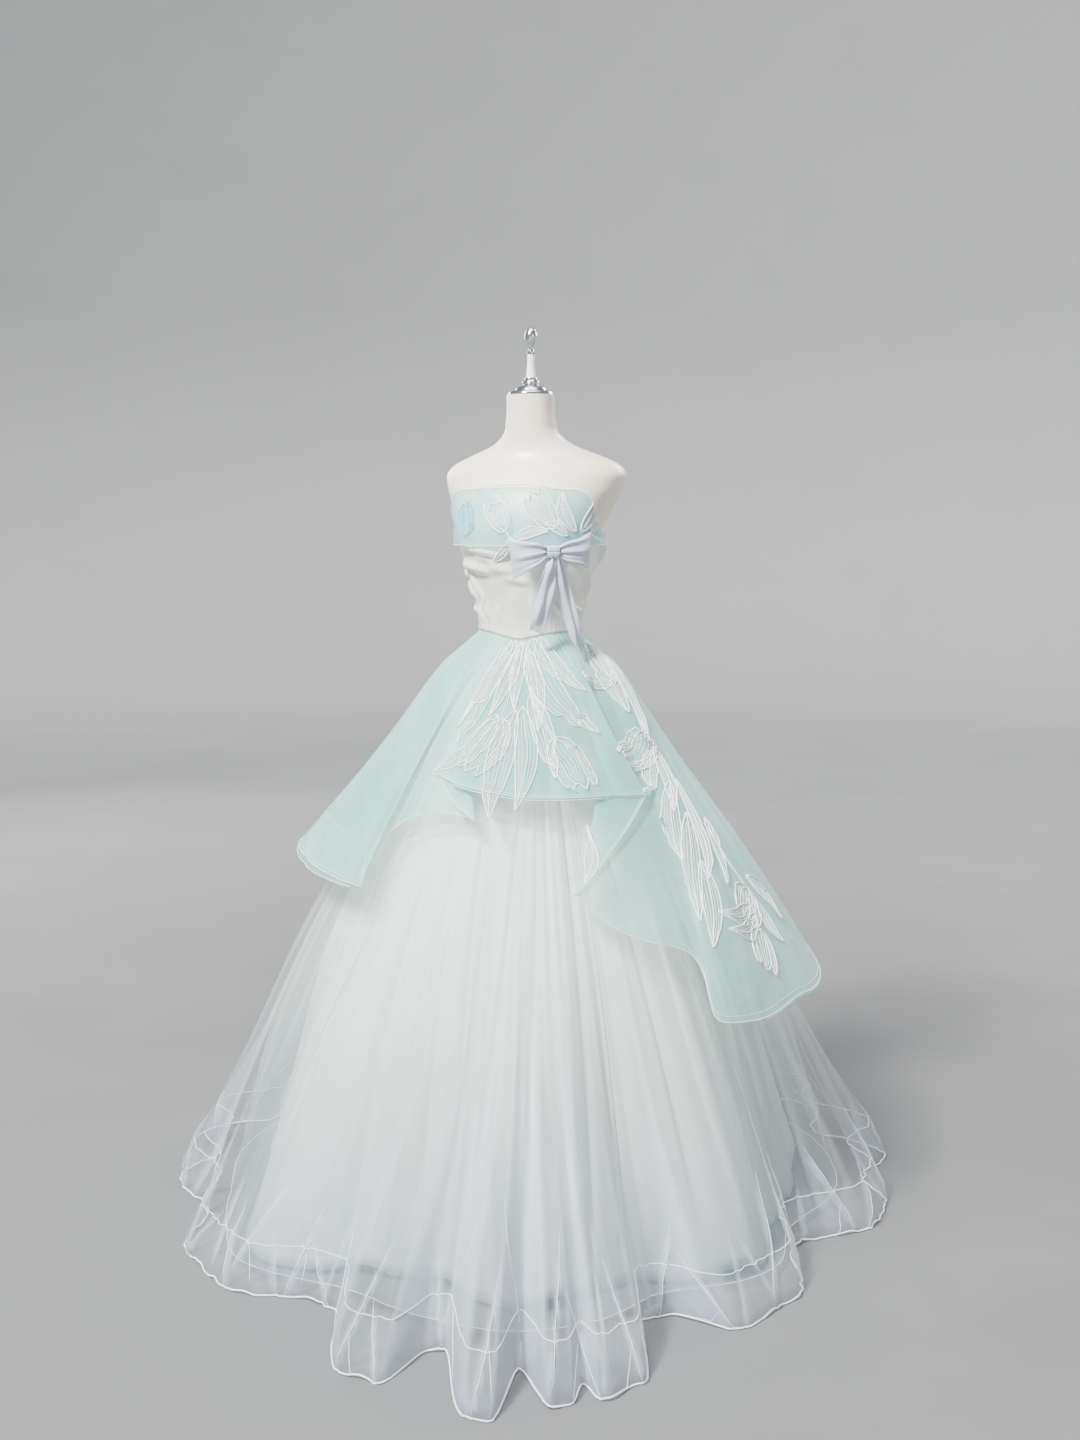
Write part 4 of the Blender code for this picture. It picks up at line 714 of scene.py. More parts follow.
def tubes(name, lines, finish, sides=5):
    """Cords or threads joined into one piece: each line is points, normals and a radius."""
    spots, faces, count = [], [], 0
    ring = np.linspace(0, 2 * pi, sides, endpoint=False)[None, :, None]
    for points, normals, radius in lines:
        points = np.asarray(points, float)
        along = np.gradient(points, axis=0)
        along /= np.linalg.norm(along, axis=1, keepdims=True) + 1e-12
        side = np.cross(along, normals)
        side /= np.linalg.norm(side, axis=1, keepdims=True) + 1e-12
        rise = np.cross(side, along)
        taper = np.broadcast_to(radius, len(points))[:, None, None]
        round_it = np.cos(ring) * side[:, None] + np.sin(ring) * rise[:, None]
        spots.append((points[:, None] + taper * round_it).reshape(-1, 3))
        index = count + np.arange(len(points) * sides).reshape(len(points), sides)
        after = np.roll(index, -1, axis=1)
        walls = np.stack([index[:-1], after[:-1], after[1:], index[1:]], -1)
        faces += walls.reshape(-1, 4).tolist()
        faces += [index[0, ::-1].tolist(), index[-1].tolist()]
        count += len(points) * sides
    obj = mesh_object(name, np.concatenate(spots), faces, finish)
    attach(obj, "root")
    return obj


def grid_normals(points):
    across = np.gradient(points, axis=0)
    down = np.gradient(points, axis=1)
    normals = np.cross(down, across)
    return normals / (np.linalg.norm(normals, axis=2, keepdims=True) + 1e-12)


# Materials

def material(name, color, roughness, **sockets):
    made = bpy.data.materials.new(name)
    made.use_nodes = True
    shader = made.node_tree.nodes["Principled BSDF"]
    shader.inputs["Base Color"].default_value = (*color, 1.0)
    shader.inputs["Roughness"].default_value = roughness
    for socket, value in sockets.items():
        shader.inputs[socket.replace("_", " ")].default_value = value
    return made, made.node_tree, shader


def add(tree, kind, inputs=(), **settings):
    """Adds a node, sets its properties, and sets or links its inputs."""
    node = tree.nodes.new("ShaderNode" + kind)
    for key, value in settings.items():
        setattr(node, key, value)
    for key, value in dict(inputs).items():
        if hasattr(value, "is_linked"):
            tree.links.new(value, node.inputs[key])
        else:
            node.inputs[key].default_value = value
    return node


def noise(tree, vector, scale, detail=3.0, rough=0.55):
    return add(tree, "TexNoise", {"Vector": vector, "Scale": scale, "Detail": detail,
                                  "Roughness": rough}).outputs["Fac"]


def spread(tree, value, low, high, start=0.25, end=0.75):
    return add(tree, "MapRange", {"Value": value, "From Min": start, "From Max": end,
                                  "To Min": low, "To Max": high}).outputs["Result"]


def cut_place(tree):
    return add(tree, "UVMap", uv_map="cut").outputs["UV"]


def object_place(tree):
    return add(tree, "TexCoord").outputs["Object"]


def roughened(tree, shader, value, low, high):
    tree.links.new(spread(tree, value, low, high), shader.inputs["Roughness"])


def stretched(tree, vector, across, along):
    return add(tree, "Mapping", {"Vector": vector, "Scale": (across, along, 1.0)}).outputs["Vector"]


def tinted(tree, shader, value, dark, light):
    ramp = add(tree, "ValToRGB", {"Fac": value})
    ramp.color_ramp.elements[0].position = 0.25
    ramp.color_ramp.elements[1].position = 0.75
    ramp.color_ramp.elements[0].color = (*dark, 1.0)
    ramp.color_ramp.elements[1].color = (*light, 1.0)
    tree.links.new(ramp.outputs["Color"], shader.inputs["Base Color"])


def paint_shade_towards_floor(tree, shader, painted_shade_colour, below):
    """Painted shade: darkens the colour towards the floor, for the layers of the skirt shading one
    another and the light falling off towards the hem.
    """
    height = add(tree, "SeparateXYZ", {"Vector": object_place(tree)}).outputs["Z"]
    shade = add(tree, "MixRGB", {"Fac": spread(tree, height, 1.0, 0.0, 0.0, below),
                                 "Color1": shader.inputs["Base Color"].links[0].from_socket,
                                 "Color2": (*painted_shade_colour, 1.0)}, blend_type="MULTIPLY")
    tree.links.new(shade.outputs["Color"], shader.inputs["Base Color"])


def bumped(tree, shader, height, strength, distance, under=None):
    node = add(tree, "Bump", {"Height": height, "Strength": strength, "Distance": distance})
    if under is not None:
        tree.links.new(under.outputs["Normal"], node.inputs["Normal"])
    tree.links.new(node.outputs["Normal"], shader.inputs["Normal"])
    return node


def weave(tree, vector, pitch):
    """Crossed threads: two sets of bands at right angles over the cut cloth."""
    scale = pi / 10 / pitch
    warp, weft = (add(tree, "TexWave", {"Vector": vector, "Scale": scale},
                      bands_direction=way).outputs["Fac"] for way in "XY")
    return add(tree, "Math", {0: warp, 1: weft}, operation="MAXIMUM").outputs[0]


def satin(name, dark, light, roughness):
    made, tree, shader = material(name, light, roughness, Sheen_Weight=0.25, Sheen_Roughness=0.35,
                                  Specular_IOR_Level=0.85, Anisotropic=0.35)
    cut = cut_place(tree)
    place = object_place(tree)
    broad = noise(tree, place, 14.0, 4.0)
    tinted(tree, shader, broad, dark, light)
    ribs = add(tree, "TexWave", {"Vector": cut, "Scale": 420.0, "Distortion": 0.6, "Detail": 1.0},
               bands_direction="DIAGONAL").outputs["Fac"]
    roughened(tree, shader, noise(tree, place, 70.0), roughness - 0.05, roughness + 0.07)
    ripple = noise(tree, stretched(tree, cut, 16.0, 34.0), 1.0, 4.0)
    first = bumped(tree, shader, ripple, 0.35, 0.004)
    bumped(tree, shader, ribs, 0.12, 0.0003, first)
    return made


def sheer(name, dark, light, roughness, alpha, pitch, streaks, uneven):
    """Sheer cloth: its threads cover a share of it, more where it is gathered."""
    made, tree, shader = material(name, light, roughness, Sheen_Weight=0.35, Sheen_Roughness=0.4,
                                  Specular_IOR_Level=0.35)
    cut = cut_place(tree)
    gathered = add(tree, "Attribute", attribute_name="gathered").outputs["Fac"]
    lines = noise(tree, stretched(tree, cut, streaks, 1.2), 1.0, 3.0, 0.55)
    tinted(tree, shader, lines, dark, light)
    low, high = alpha
    cover = spread(tree, gathered, low, high, 0.0, 1.0)
    fine = spread(tree, lines, -uneven, uneven, 0.3, 0.7)
    threads = spread(tree, weave(tree, cut, pitch), 0.82, 1.06, 0.0, 1.0)
    total = add(tree, "Math", {0: cover, 1: fine}, operation="ADD").outputs[0]
    woven = add(tree, "Math", {0: total, 1: threads}, operation="MULTIPLY", use_clamp=True)
    tree.links.new(woven.outputs[0], shader.inputs["Alpha"])
    first = bumped(tree, shader, lines, 0.30, 0.003)
    bumped(tree, shader, noise(tree, cut, 45.0, 3.0), 0.20, 0.002, first)
    return made


def matt_cloth(name, dark, light, roughness, painted_shade_colour):
    """Plain close-woven cloth, with painted shade darkening its colour towards the floor for the
    layers over it.
    """
    made, tree, shader = material(name, light, roughness, Sheen_Weight=0.30, Sheen_Roughness=0.5)
    cut = cut_place(tree)
    lines = noise(tree, stretched(tree, cut, 4.0, 0.8), 1.0, 2.0, 0.5)
    tinted(tree, shader, lines, dark, light)
    paint_shade_towards_floor(tree, shader, painted_shade_colour, LINING_PAINTED_SHADE_BELOW)
    roughened(tree, shader, noise(tree, cut, 60.0), roughness - 0.06, roughness + 0.06)
    first = bumped(tree, shader, lines, 0.35, 0.004)
    bumped(tree, shader, weave(tree, cut, 0.0008), 0.10, 0.0002, first)
    return made


def thread(name, dark, light, roughness):
    made, tree, shader = material(name, light, roughness, Sheen_Weight=0.4, Sheen_Roughness=0.3)
    place = object_place(tree)
    tinted(tree, shader, noise(tree, place, 160.0, 2.0), dark, light)
    twist = add(tree, "TexWave", {"Vector": place, "Scale": 260.0, "Distortion": 1.5},
                bands_direction="DIAGONAL").outputs["Fac"]
    bumped(tree, shader, twist, 0.25, 0.0003)
    return made


def moulded(name, dark, light, roughness):
    made, tree, shader = material(name, light, roughness, Coat_Weight=0.25, Coat_Roughness=0.2)
    place = object_place(tree)
    tinted(tree, shader, noise(tree, place, 5.0, 2.0), dark, light)
    roughened(tree, shader, noise(tree, place, 40.0), roughness - 0.05, roughness + 0.08)
    bumped(tree, shader, noise(tree, place, 260.0, 2.0), 0.05, 0.0004)
    return made


def plated(name):
    made, tree, shader = material(name, (0.78, 0.79, 0.81), 0.12, Metallic=1.0)
    place = object_place(tree)
    brushed = add(tree, "Mapping", {"Vector": place, "Scale": (40.0, 40.0, 900.0)})
    lines = noise(tree, brushed.outputs["Vector"], 1.0, 2.0)
    tinted(tree, shader, noise(tree, place, 30.0), (0.72, 0.73, 0.76), (0.82, 0.83, 0.85))
    roughened(tree, shader, lines, 0.09, 0.2)
    return made


SATIN = satin("ivory_satin", (0.76, 0.76, 0.69), (0.90, 0.90, 0.83), 0.25)
RIBBON = satin("bow_satin", (0.46, 0.51, 0.60), (0.66, 0.70, 0.77), 0.23)
ORGANZA = sheer("aqua_organza", (0.24, 0.66, 0.57), (0.38, 0.82, 0.73), 0.42,
                (0.36, 0.80), 0.0007, 7.0, 0.05)
BAND_ORGANZA = sheer("band_organza", (0.20, 0.60, 0.60), (0.32, 0.72, 0.72), 0.40,
                     (0.36, 0.80), 0.0007, 8.0, 0.07)
TULLE = sheer("white_tulle", (0.85, 0.91, 0.92), (0.95, 0.97, 0.97), 0.55,
              (0.11, 0.62), 0.0016, 9.0, 0.03)
UNDER_TULLE = sheer("second_tulle", (0.36, 0.78, 0.66), (0.90, 0.93, 0.90), 0.55,
                    (0.28, 0.54), 0.0016, 4.5, 0.16)
# Painted shade: both tulles' colours darken towards the floor, to these colours at the hem
for made, painted_shade_colour in ((TULLE, (0.46, 0.53, 0.62)), (UNDER_TULLE, (0.50, 0.60, 0.66))):
    paint_shade_towards_floor(made.node_tree, made.node_tree.nodes["Principled BSDF"], painted_shade_colour, NET_PAINTED_SHADE_BELOW)
# The last colour is the painted shade that the lining's colour darkens to at the floor
LINING = matt_cloth("lining_taffeta", (0.87, 0.87, 0.81), (0.96, 0.95, 0.90), 0.55,
                    (0.54, 0.56, 0.60))
NET = sheer("embroidery_net", (0.56, 0.84, 0.80), (0.70, 0.92, 0.88), 0.50,
            (0.12, 0.22), 0.0009, 60.0, 0.03)
THREAD = thread("white_thread", (0.94, 0.98, 0.98), (1.00, 1.00, 1.00), 0.42)
EDGE = thread("organza_edge", (0.62, 0.84, 0.80), (0.76, 0.93, 0.90), 0.45)
BLUE_THREAD = thread("blue_thread", (0.16, 0.48, 0.72), (0.32, 0.63, 0.83), 0.42)
CORD = thread("hem_cord", (0.86, 0.94, 0.97), (0.96, 0.99, 1.00), 0.48)
SHELL = moulded("form_shell", (0.80, 0.74, 0.58), (0.87, 0.81, 0.65), 0.38)
SPINDLE = moulded("spindle_white", (0.84, 0.83, 0.79), (0.90, 0.89, 0.86), 0.32)
CHROME = plated("chrome")


# Dress form

def build_form():
    heights = np.concatenate([np.linspace(TORSO[0, 0], 1.44, 90),
                              np.linspace(1.445, TORSO[-1, 0], 56)])
    angles = np.linspace(-180, 180, 160, endpoint=False)
    points = torso(angles[:, None], heights[None, ::-1], 0.0)
    obj = closed_round("form_shell_smooth", points, SHELL, 50)
    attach(obj, "root")
    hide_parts("form_body")


def build_fittings():
    """The turned pieces on the neck, each from its half section with the top row first."""
    around = np.linspace(0, 360, 72, endpoint=False)[:, None]
    knob = [*eased_line(KNOB_SECTION, 44), *KNOB_FOOT]
    for node, foot, section, finish, slot in (
            ("neck_cap", 0.0, CAP_SECTION, CHROME, "chrome"),
            ("neck_spindle", 0.0238, SPINDLE_SECTION, SPINDLE, "spindle"),
            ("finial_knob", 0.0811, knob, CHROME, "chrome")):
        radius, height = np.array(section).T
        points = at(around, radius, NECK_TOP + foot + height)
        obj = closed_round(node + "_turned", points, finish, 38)
        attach(obj, "root")
        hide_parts(node)


def finish_nodes():
    for node in ("stand_base", "stand_pole"):
        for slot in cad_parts[node].material_slots:
            slot.material = CHROME


# Bodice and band

def neckline(angle):
    front = NECKLINE_FRONT - NECKLINE_DIP * bell(angle - 2.0, NECKLINE_DIP_SPREAD)
    return mix(front, NECKLINE_BACK, ease(np.abs(angle), *UNDERARM))


def seam_angle(angle, height):
    lean = 11.0 / 45.0 * ease(height, WAIST_HEIGHT, 1.30)
    return angle * (1 - lean * bell(np.abs(angle) - 45.0, 30.0))


def bodice_place(angle, height, outward):
    free = mix(WAIST_EASE, BODICE_EASE, ease(height, WAIST_HEIGHT, WAIST_HEIGHT + 0.06))
    free = free + 0.003 * ease(height, 1.35, 1.43)
    return torso(angle, height, free + SATIN_WALL / 2 + outward)


def bodice_grid(low, high, rows):
    angle = np.linspace(low, high, max(12, round((high - low) / 1.1)))[:, None]
    share = np.linspace(1.0, 0.0, rows)[None, :]
    height = mix(waist_height(angle) + SEAM_GAP / 2, neckline(angle), share)
    lines = segment_creases(BODICE_CREASES, angle, height)
    lines = lines * mix(1.35, 0.8, ease(np.abs(angle), 92.0, 112.0))
    seams = np.minimum(np.abs(angle - low), np.abs(high - angle))
    roll = 0.0004 * bell(seams - 2.0, 1.2) - 0.0011 * bell(seams, 0.9)
    drawn = 0.0006 * np.sin(np.radians(height * 9000) + 1.7 * np.sin(height * 61))
    drawn = drawn * bell(seams, 2.2)
    lift = np.maximum(lines + 0.0006, 0.0) + roll + drawn * ease(height, 1.16, 1.20)
    return bodice_place(seam_angle(angle, height), height, np.maximum(lift, -0.0012))


def band_grid(low, high, rows):
    angle = np.linspace(low, high, round((high - low) / 1.0))[:, None]
    share = np.linspace(1.0, 0.0, rows)[None, :]
    under = ease(np.abs(angle), *UNDERARM)
    top = mix(BAND_TOP[0] - 0.010 * ease(np.abs(angle), 10.0, 55.0), BAND_TOP[1], under)
    bottom = mix(*BAND_BOTTOM, ease(np.abs(angle), 88.0, 125.0))
    height = mix(bottom, top, share)
    off = BAND_OFF + BAND_STAND_OFF * (1 - share) ** 1.4
    off = off + BAND_WAVE * (1 - share) * (1 + np.sin(np.radians(angle * 5.0 + 40.0)))
    off = off + segment_creases(BAND_CREASES, angle, height) * ease(1 - share, 0.05, 0.3)
    return bodice_place(seam_angle(angle, height), height, off)


def edge_line(points, row, radius, lift=0.0):
    """One row of a cloth's grid as a cord, with the cloth's normals."""
    normals = grid_normals(points)[:, row]
    return points[:, row] + normals * lift, normals, radius


def build_bodice():
    for name, low, high in zip(BODICE_NAMES, BODICE_SEAMS, BODICE_SEAMS[1:]):
        points = draw_back(bodice_grid(low, high, BODICE_ROWS))
        obj = cloth("satin_" + name, points, SATIN, SATIN_WALL)
        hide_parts("bodice_" + name)


def build_band():
    down = np.linspace(0.0, 1.0, BAND_ROWS)[None, :]
    for name, low, high in zip(BACK_FRONT_BACK, BAND_SEAMS, BAND_SEAMS[1:]):
        points = draw_back(band_grid(low, high, BAND_ROWS), BAND_GAP)
        obj = cloth("organza_band_" + name, points, BAND_ORGANZA,
                    density=0.16 + 0.34 * down ** 1.5)
        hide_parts("band_" + name)
        cords = [edge_line(points, row, radius) for row, radius in zip((0, -1), BAND_CORDS)]
        edges = tubes("band_edges_" + name, cords, EDGE)
        trims = [edges]
        if name == "front":
            tree = tree_of(extended_band())
            trims += embroider("band_embroidery", tree, band_chart, BAND_MOTIFS)
            trims += embroider("blue_tulip", tree, band_chart, BAND_BLUE_MOTIFS, BLUE_THREAD)


# Skirts

def steepness(points):
    """How much more cloth there is here than if it ran straight round the body."""
    across = np.gradient(points, axis=0)
    radius = np.linalg.norm(points[..., :2], axis=-1)
    turn = np.unwrap(np.arctan2(points[..., 0], -points[..., 1]), axis=0)
    level = np.abs(np.gradient(turn, axis=0)) * radius + 1e-9
    return np.linalg.norm(across[..., :2], axis=-1) / level - 1.0


def tulle_grid(low, high, rows):
    angle = np.linspace(low, high, max(20, round((high - low) / 0.36)))[:, None]
    share = np.linspace(0.0, 1.0, rows)[None, :]
    down = 2 * LAYER_DROP + (TULLE_HEM - 2 * LAYER_DROP) * share ** 0.9
    points, sharp = tulle(angle, down)
    return points, down, sharp


def tulle(angle, down):
    """Places on the sheer skirt, and how sharply it is creased there."""
    inward = 2 * LAYER_PITCH + 0.009 * ease(down, 0.0, 0.25) + 0.005 * ease(down, 0.25, 0.6)
    radius = wave_through(angle, HEM_FOLDS[:, 0], HEM_FOLDS[:, 1])
    flute = FLUTE * wave_through(angle, HEM_FOLDS[:, 0], HEM_FOLDS[:, 2]) * ease(down, 0.10, 0.60)
    flute = flute * (1 - ease(down, 0.8, SLOPE_LENGTH))
    lines = creases(TULLE_CREASES, angle, down, 0.6) * mix(0.4, 1.0, ease(down, 0.35, 0.90))
    lines = lines + gathers(angle, 0.0010, down, 0.04, 0.26)
    turn = np.radians(angle)
    crinkle = 0.0022 * np.sin(turn * 83 + 3 * np.sin(down * 37) + 2 * np.sin(turn * 19))
    crinkle = crinkle * np.sin(down * 61 + 2 * np.sin(turn * 31)) * ease(down, 1.14, 1.25)
    sharp = creases(HEM_CRINKLES, angle, down)
    reach = hem_reach(down, radius, inward) + flute + lines + crinkle + sharp
    points = skirt(angle, down, -inward, reach)
    drape = 0.004 * np.sin(turn * 47 + 1.3 * np.sin(turn * 13))
    points[..., 2] += np.maximum(drape, 0.0) * ease(down, 1.22, TULLE_HEM)
    return points, np.abs(sharp) / 0.006


def pinched_lines(low, high):
    """Pinched crests of the hem band's sharp creases, each with a branch."""
    lines = []
    for number, (middle, _, depth, lean, start, end) in enumerate(HEM_CRINKLES):
        if not low + 0.8 < middle < high - 0.8 or depth < 0 or number % 5 == 3:
            continue
        spread_by = lean * (1.4, 2.2, 0.9)[number % 3]
        branch = 0.35 + 0.1 * (number % 4)
        for turn, begin, stop in ((1.0, 0.0, 1.0), (-1.1, branch, branch + 0.4))[:1 + number % 2]:
            share = np.linspace(begin, stop, 18)
            down = np.minimum(start + share * (end - start), TULLE_HEM - 0.004)
            aside = spread_by * (begin - 0.5) + turn * spread_by * (share - begin)
            aside += 0.16 * np.sin(share * (7.0 + number % 3) + number) * (share - begin)
            angle = np.clip(middle + aside, low + 0.3, high - 0.3)
            spots = tulle(angle, down)[0]
            across = tulle(angle + 0.2, down)[0] - tulle(angle - 0.2, down)[0]
            along = tulle(angle, down + 0.003)[0] - tulle(angle, down - 0.003)[0]
            normals = np.cross(along, across)
            normals /= np.linalg.norm(normals, axis=1, keepdims=True)
            thin, thicker = PINCH_THREAD
            taper = thin + thicker * np.sin(pi * (share - begin) / (stop - begin))
            lines.append((spots + normals * 0.0003, normals, taper))
    return lines


def under_tulle_grid(low, high, rows):
    angle = np.linspace(low, high, round((high - low) / 0.9))[:, None]
    share = np.linspace(0.0, 1.0, rows)[None, :]
    down = mix(3 * LAYER_DROP, SLOPE_LENGTH - UNDER_HEM_UP, share)
    inward = 3 * LAYER_PITCH + 0.016 * ease(down, 0.01, 0.25) + 0.009 * ease(down, 0.25, 0.6)
    radius = curve_through(angle, *UNDER_HEM.T)
    lines = creases(UNDER_CREASES, angle, down) * ease(down, 0.2, 0.6)
    return skirt(angle, down, -inward, hem_reach(down, radius, inward) + lines)


def lining_grid(low, high, rows):
    angle = np.linspace(low, high, round((high - low) / 0.5))[:, None]
    share = np.linspace(0.0, 1.0, rows)[None, :]
    down = mix(4 * LAYER_DROP, SLOPE_LENGTH - LINING_HEM_UP, share)
    inward = 4 * LAYER_PITCH + 0.042 * ease(down, 0.01, 0.36)
    radius = curve_through(angle, *LINING_HEM.T)
    narrow = LINING_MEAN - (LINE_RADIUS[-1] - inward / squareness(SLOPE_LENGTH - 0.01))
    flute = (radius - LINING_MEAN) * ease(down, LINING_FLUTE_FROM, SLOPE_LENGTH)
    lines = creases(LINING_CREASES, angle, down, 0.5) * ease(down, 0.15, 0.5)
    points = skirt(angle, down, -inward, narrow * ease(down, 0.25, SLOPE_LENGTH) + flute + lines)
    turn = np.radians(angle)
    rounded = 0.012 * np.sin(turn * 17 + 1.5 * np.sin(turn * 5))
    points[..., 2] += np.maximum(rounded, -0.004) * ease(down, 1.05, SLOPE_LENGTH)
    return points


def build_lining():
    for number, (low, high) in enumerate(zip(LINING_SEAMS, LINING_SEAMS[1:]), 1):
        points = draw_back(lining_grid(low, high, LINING_ROWS), LINING_GAP)
        obj = cloth(f"taffeta_lining_{number}", points, LINING, LINING_WALL)
        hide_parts(f"skirt_lining_{number}")


def build_under_tulle():
    for number, (low, high) in enumerate(zip(LINING_SEAMS, LINING_SEAMS[1:]), 1):
        points = draw_back(under_tulle_grid(low, high, UNDER_ROWS))
        obj = cloth(f"second_tulle_{number}", points, UNDER_TULLE,
                    density=np.clip(steepness(points) * 3, 0, 1))
        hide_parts(f"under_tulle_{number}")
        edge = tubes(f"second_tulle_hem_{number}", [edge_line(points, -1, UNDER_CORD)], CORD)


def build_tulle():
    for number, (low, high) in enumerate(zip(SKIRT_SEAMS, SKIRT_SEAMS[1:]), 1):
        points, down, sharp = tulle_grid(low, high, TULLE_ROWS)
        points = draw_back(points)
        gathered = steepness(points) * 0.8 + 0.24 * ease(down, *HEM_BAND_EDGE) + 0.8 * sharp
        obj = cloth(f"tulle_gore_{number}", points, TULLE, density=np.clip(gathered, 0, 1))
        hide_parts(f"skirt_tulle_{number}")
        stitch = int(np.argmin(np.abs(down[0] - HEM_BAND_DOWN)))
        lines = [edge_line(points, -1, TULLE_CORD, 0.0004), edge_line(points, stitch, TULLE_STITCH)]
        cord = tubes(f"tulle_hem_{number}", lines + pinched_lines(low, high), CORD, 6)


# Overskirt

def overskirt_columns(low, high, step):
    first = int(np.searchsorted(OVERSKIRT[:, 0], low))
    last = int(np.searchsorted(OVERSKIRT[:, 0], high))
    columns = []
    for row in range(first, last):
        steps = max(4, round(abs(OVERSKIRT[row + 1, 1] - OVERSKIRT[row, 1]) / step))
        columns += [row + k / steps for k in range(steps)]
    return np.array(columns + [float(last)])


def overskirt(column, share, top, longer):
    waist, hem, length, level, flare = (
        curve_through(column, COLUMN, OVERSKIRT[:, k]) for k in range(5))
    down = mix(top, length + longer, share)
    angle = mix(waist, hem, np.maximum(share - FOLD_START, 0.0) / (1.0 - FOLD_START))
    spread_by = ease(down, 0.0, STAND_BY)
    depth = FOLD_STEP * level * spread_by + flare * share ** 1.7
    lines = creases(OVERSKIRT_CREASES, waist, share) + gathers(waist, 0.0009, down, 0.02, 0.16)
    return skirt(angle, down, STAND_OFF * spread_by + depth + lines)


def overskirt_under(column, share, top, longer):
    """The second layer: the first one's own surface, a pitch further in."""
    def layer(columns, shares):
        return overskirt(columns, shares, top, longer)
    low, high = np.maximum(share - 0.01, 0.0), np.minimum(share + 0.01, 1.0)
    inward = np.cross(layer(column + 0.05, share) - layer(column - 0.05, share),
                      layer(column, high) - layer(column, low))
    inward /= np.linalg.norm(inward, axis=-1, keepdims=True)
    pitch = mix(LAYER_PITCH, UNDER_PITCH, ease(share, 0.0, 0.2))
    return layer(column, share) + inward * np.asarray(pitch)[..., None]


def stitches(name, column, points):
    """The stitch line at the top of the deep hem."""
    length = curve_through(column[:, 0], COLUMN, OVERSKIRT[:, 2])
    hem = curve_through(column[:, 0], COLUMN, OVERSKIRT[:, 1])
    inside = np.flatnonzero((hem > -124.0) & (hem < -34.0) & (column[:, 0] < 13.0))
    rows = (1 - DEEP_HEM / length[inside]) * (points.shape[1] - 1)
    low = np.floor(rows).astype(int)
    part = (rows - low)[:, None]
    normals = grid_normals(points)[inside, low]
    line = points[inside, low] * (1 - part) + points[inside, low + 1] * part
    obj = tubes(name, [(line + normals * 0.0004, normals, DEEP_HEM_STITCH)], EDGE)
    return obj


def deep_hem(column, share):
    """Where the overskirt's turned-up hem lies: 1 inside it, on the wearer's right."""
    hem, length = (curve_through(column, COLUMN, OVERSKIRT[:, k]) for k in (1, 2))
    place = ease(hem, -128.0, -112.0) * (1 - ease(hem, -47.0, -36.0))
    return place * ease((1 - share) * length, DEEP_HEM + 0.002, DEEP_HEM - 0.002)


def build_overskirt():
    for name, low, high in zip(BACK_FRONT_BACK, OVERSKIRT_SEAMS, OVERSKIRT_SEAMS[1:]):
        column = overskirt_columns(low, high, 1.2)[:, None]
        share = np.linspace(0.0, 1.0, OVERSKIRT_ROWS)[None, :]
        points = draw_back(overskirt(column, share, OVERSKIRT_TOP, 0.0))
        gathered = 0.04 + 0.52 * (1 - share) ** 1.6 + 0.30 * deep_hem(column, share)
        obj = cloth("organza_overskirt_" + name, points, ORGANZA, density=gathered)
        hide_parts("overskirt_" + name)
        cords = [edge_line(points, row, radius) for row, radius in zip((-1, -2), OVERSKIRT_CORDS)]
        cord = tubes("overskirt_edge_" + name, cords, EDGE, 6)
        trims = [cord]
        if name != "back_left":
            trims.append(stitches("deep_hem_" + name, column, points))
        if name == "front":
            trims += embroider("skirt_embroidery", tree_of([extended_overskirt()]), skirt_chart,
                               SKIRT_MOTIFS)
    for name, low, high in UNDER_PANELS:
        column = overskirt_columns(low, high, 1.6)[:, None]
        share = np.linspace(0.0, 1.0, SECOND_ROWS)[None, :]
        hem = curve_through(column, COLUMN, OVERSKIRT[:, 1])
        points = draw_back(overskirt_under(column, share, OVERSKIRT_TOP + LAYER_DROP,
                                           0.004 + 0.009 * bell(hem + 60.0, 25.0)))
        obj = cloth("organza_second_" + name, points, ORGANZA, density=0.0)
        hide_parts("overskirt_under_" + name)
        edge = tubes("second_edge_" + name, [edge_line(points, -1, SECOND_CORD)], EDGE)


# Embroidery

def leaf_width(t):
    return np.sin(pi * np.clip(t, 0, 1) ** 0.82) ** 0.9


def tulip_width(t):
    return np.interp(t, *zip(*TULIP_SIDE))


def eased_line(bends, count):
    """A smooth line through a few places in the plane."""
    bends = np.array(bends, float)
    rows = np.arange(len(bends), dtype=float)
    x = np.linspace(0, rows[-1], count)
    return np.stack([curve_through(x, rows, bends[:, k]) for k in (0, 1)], 1)


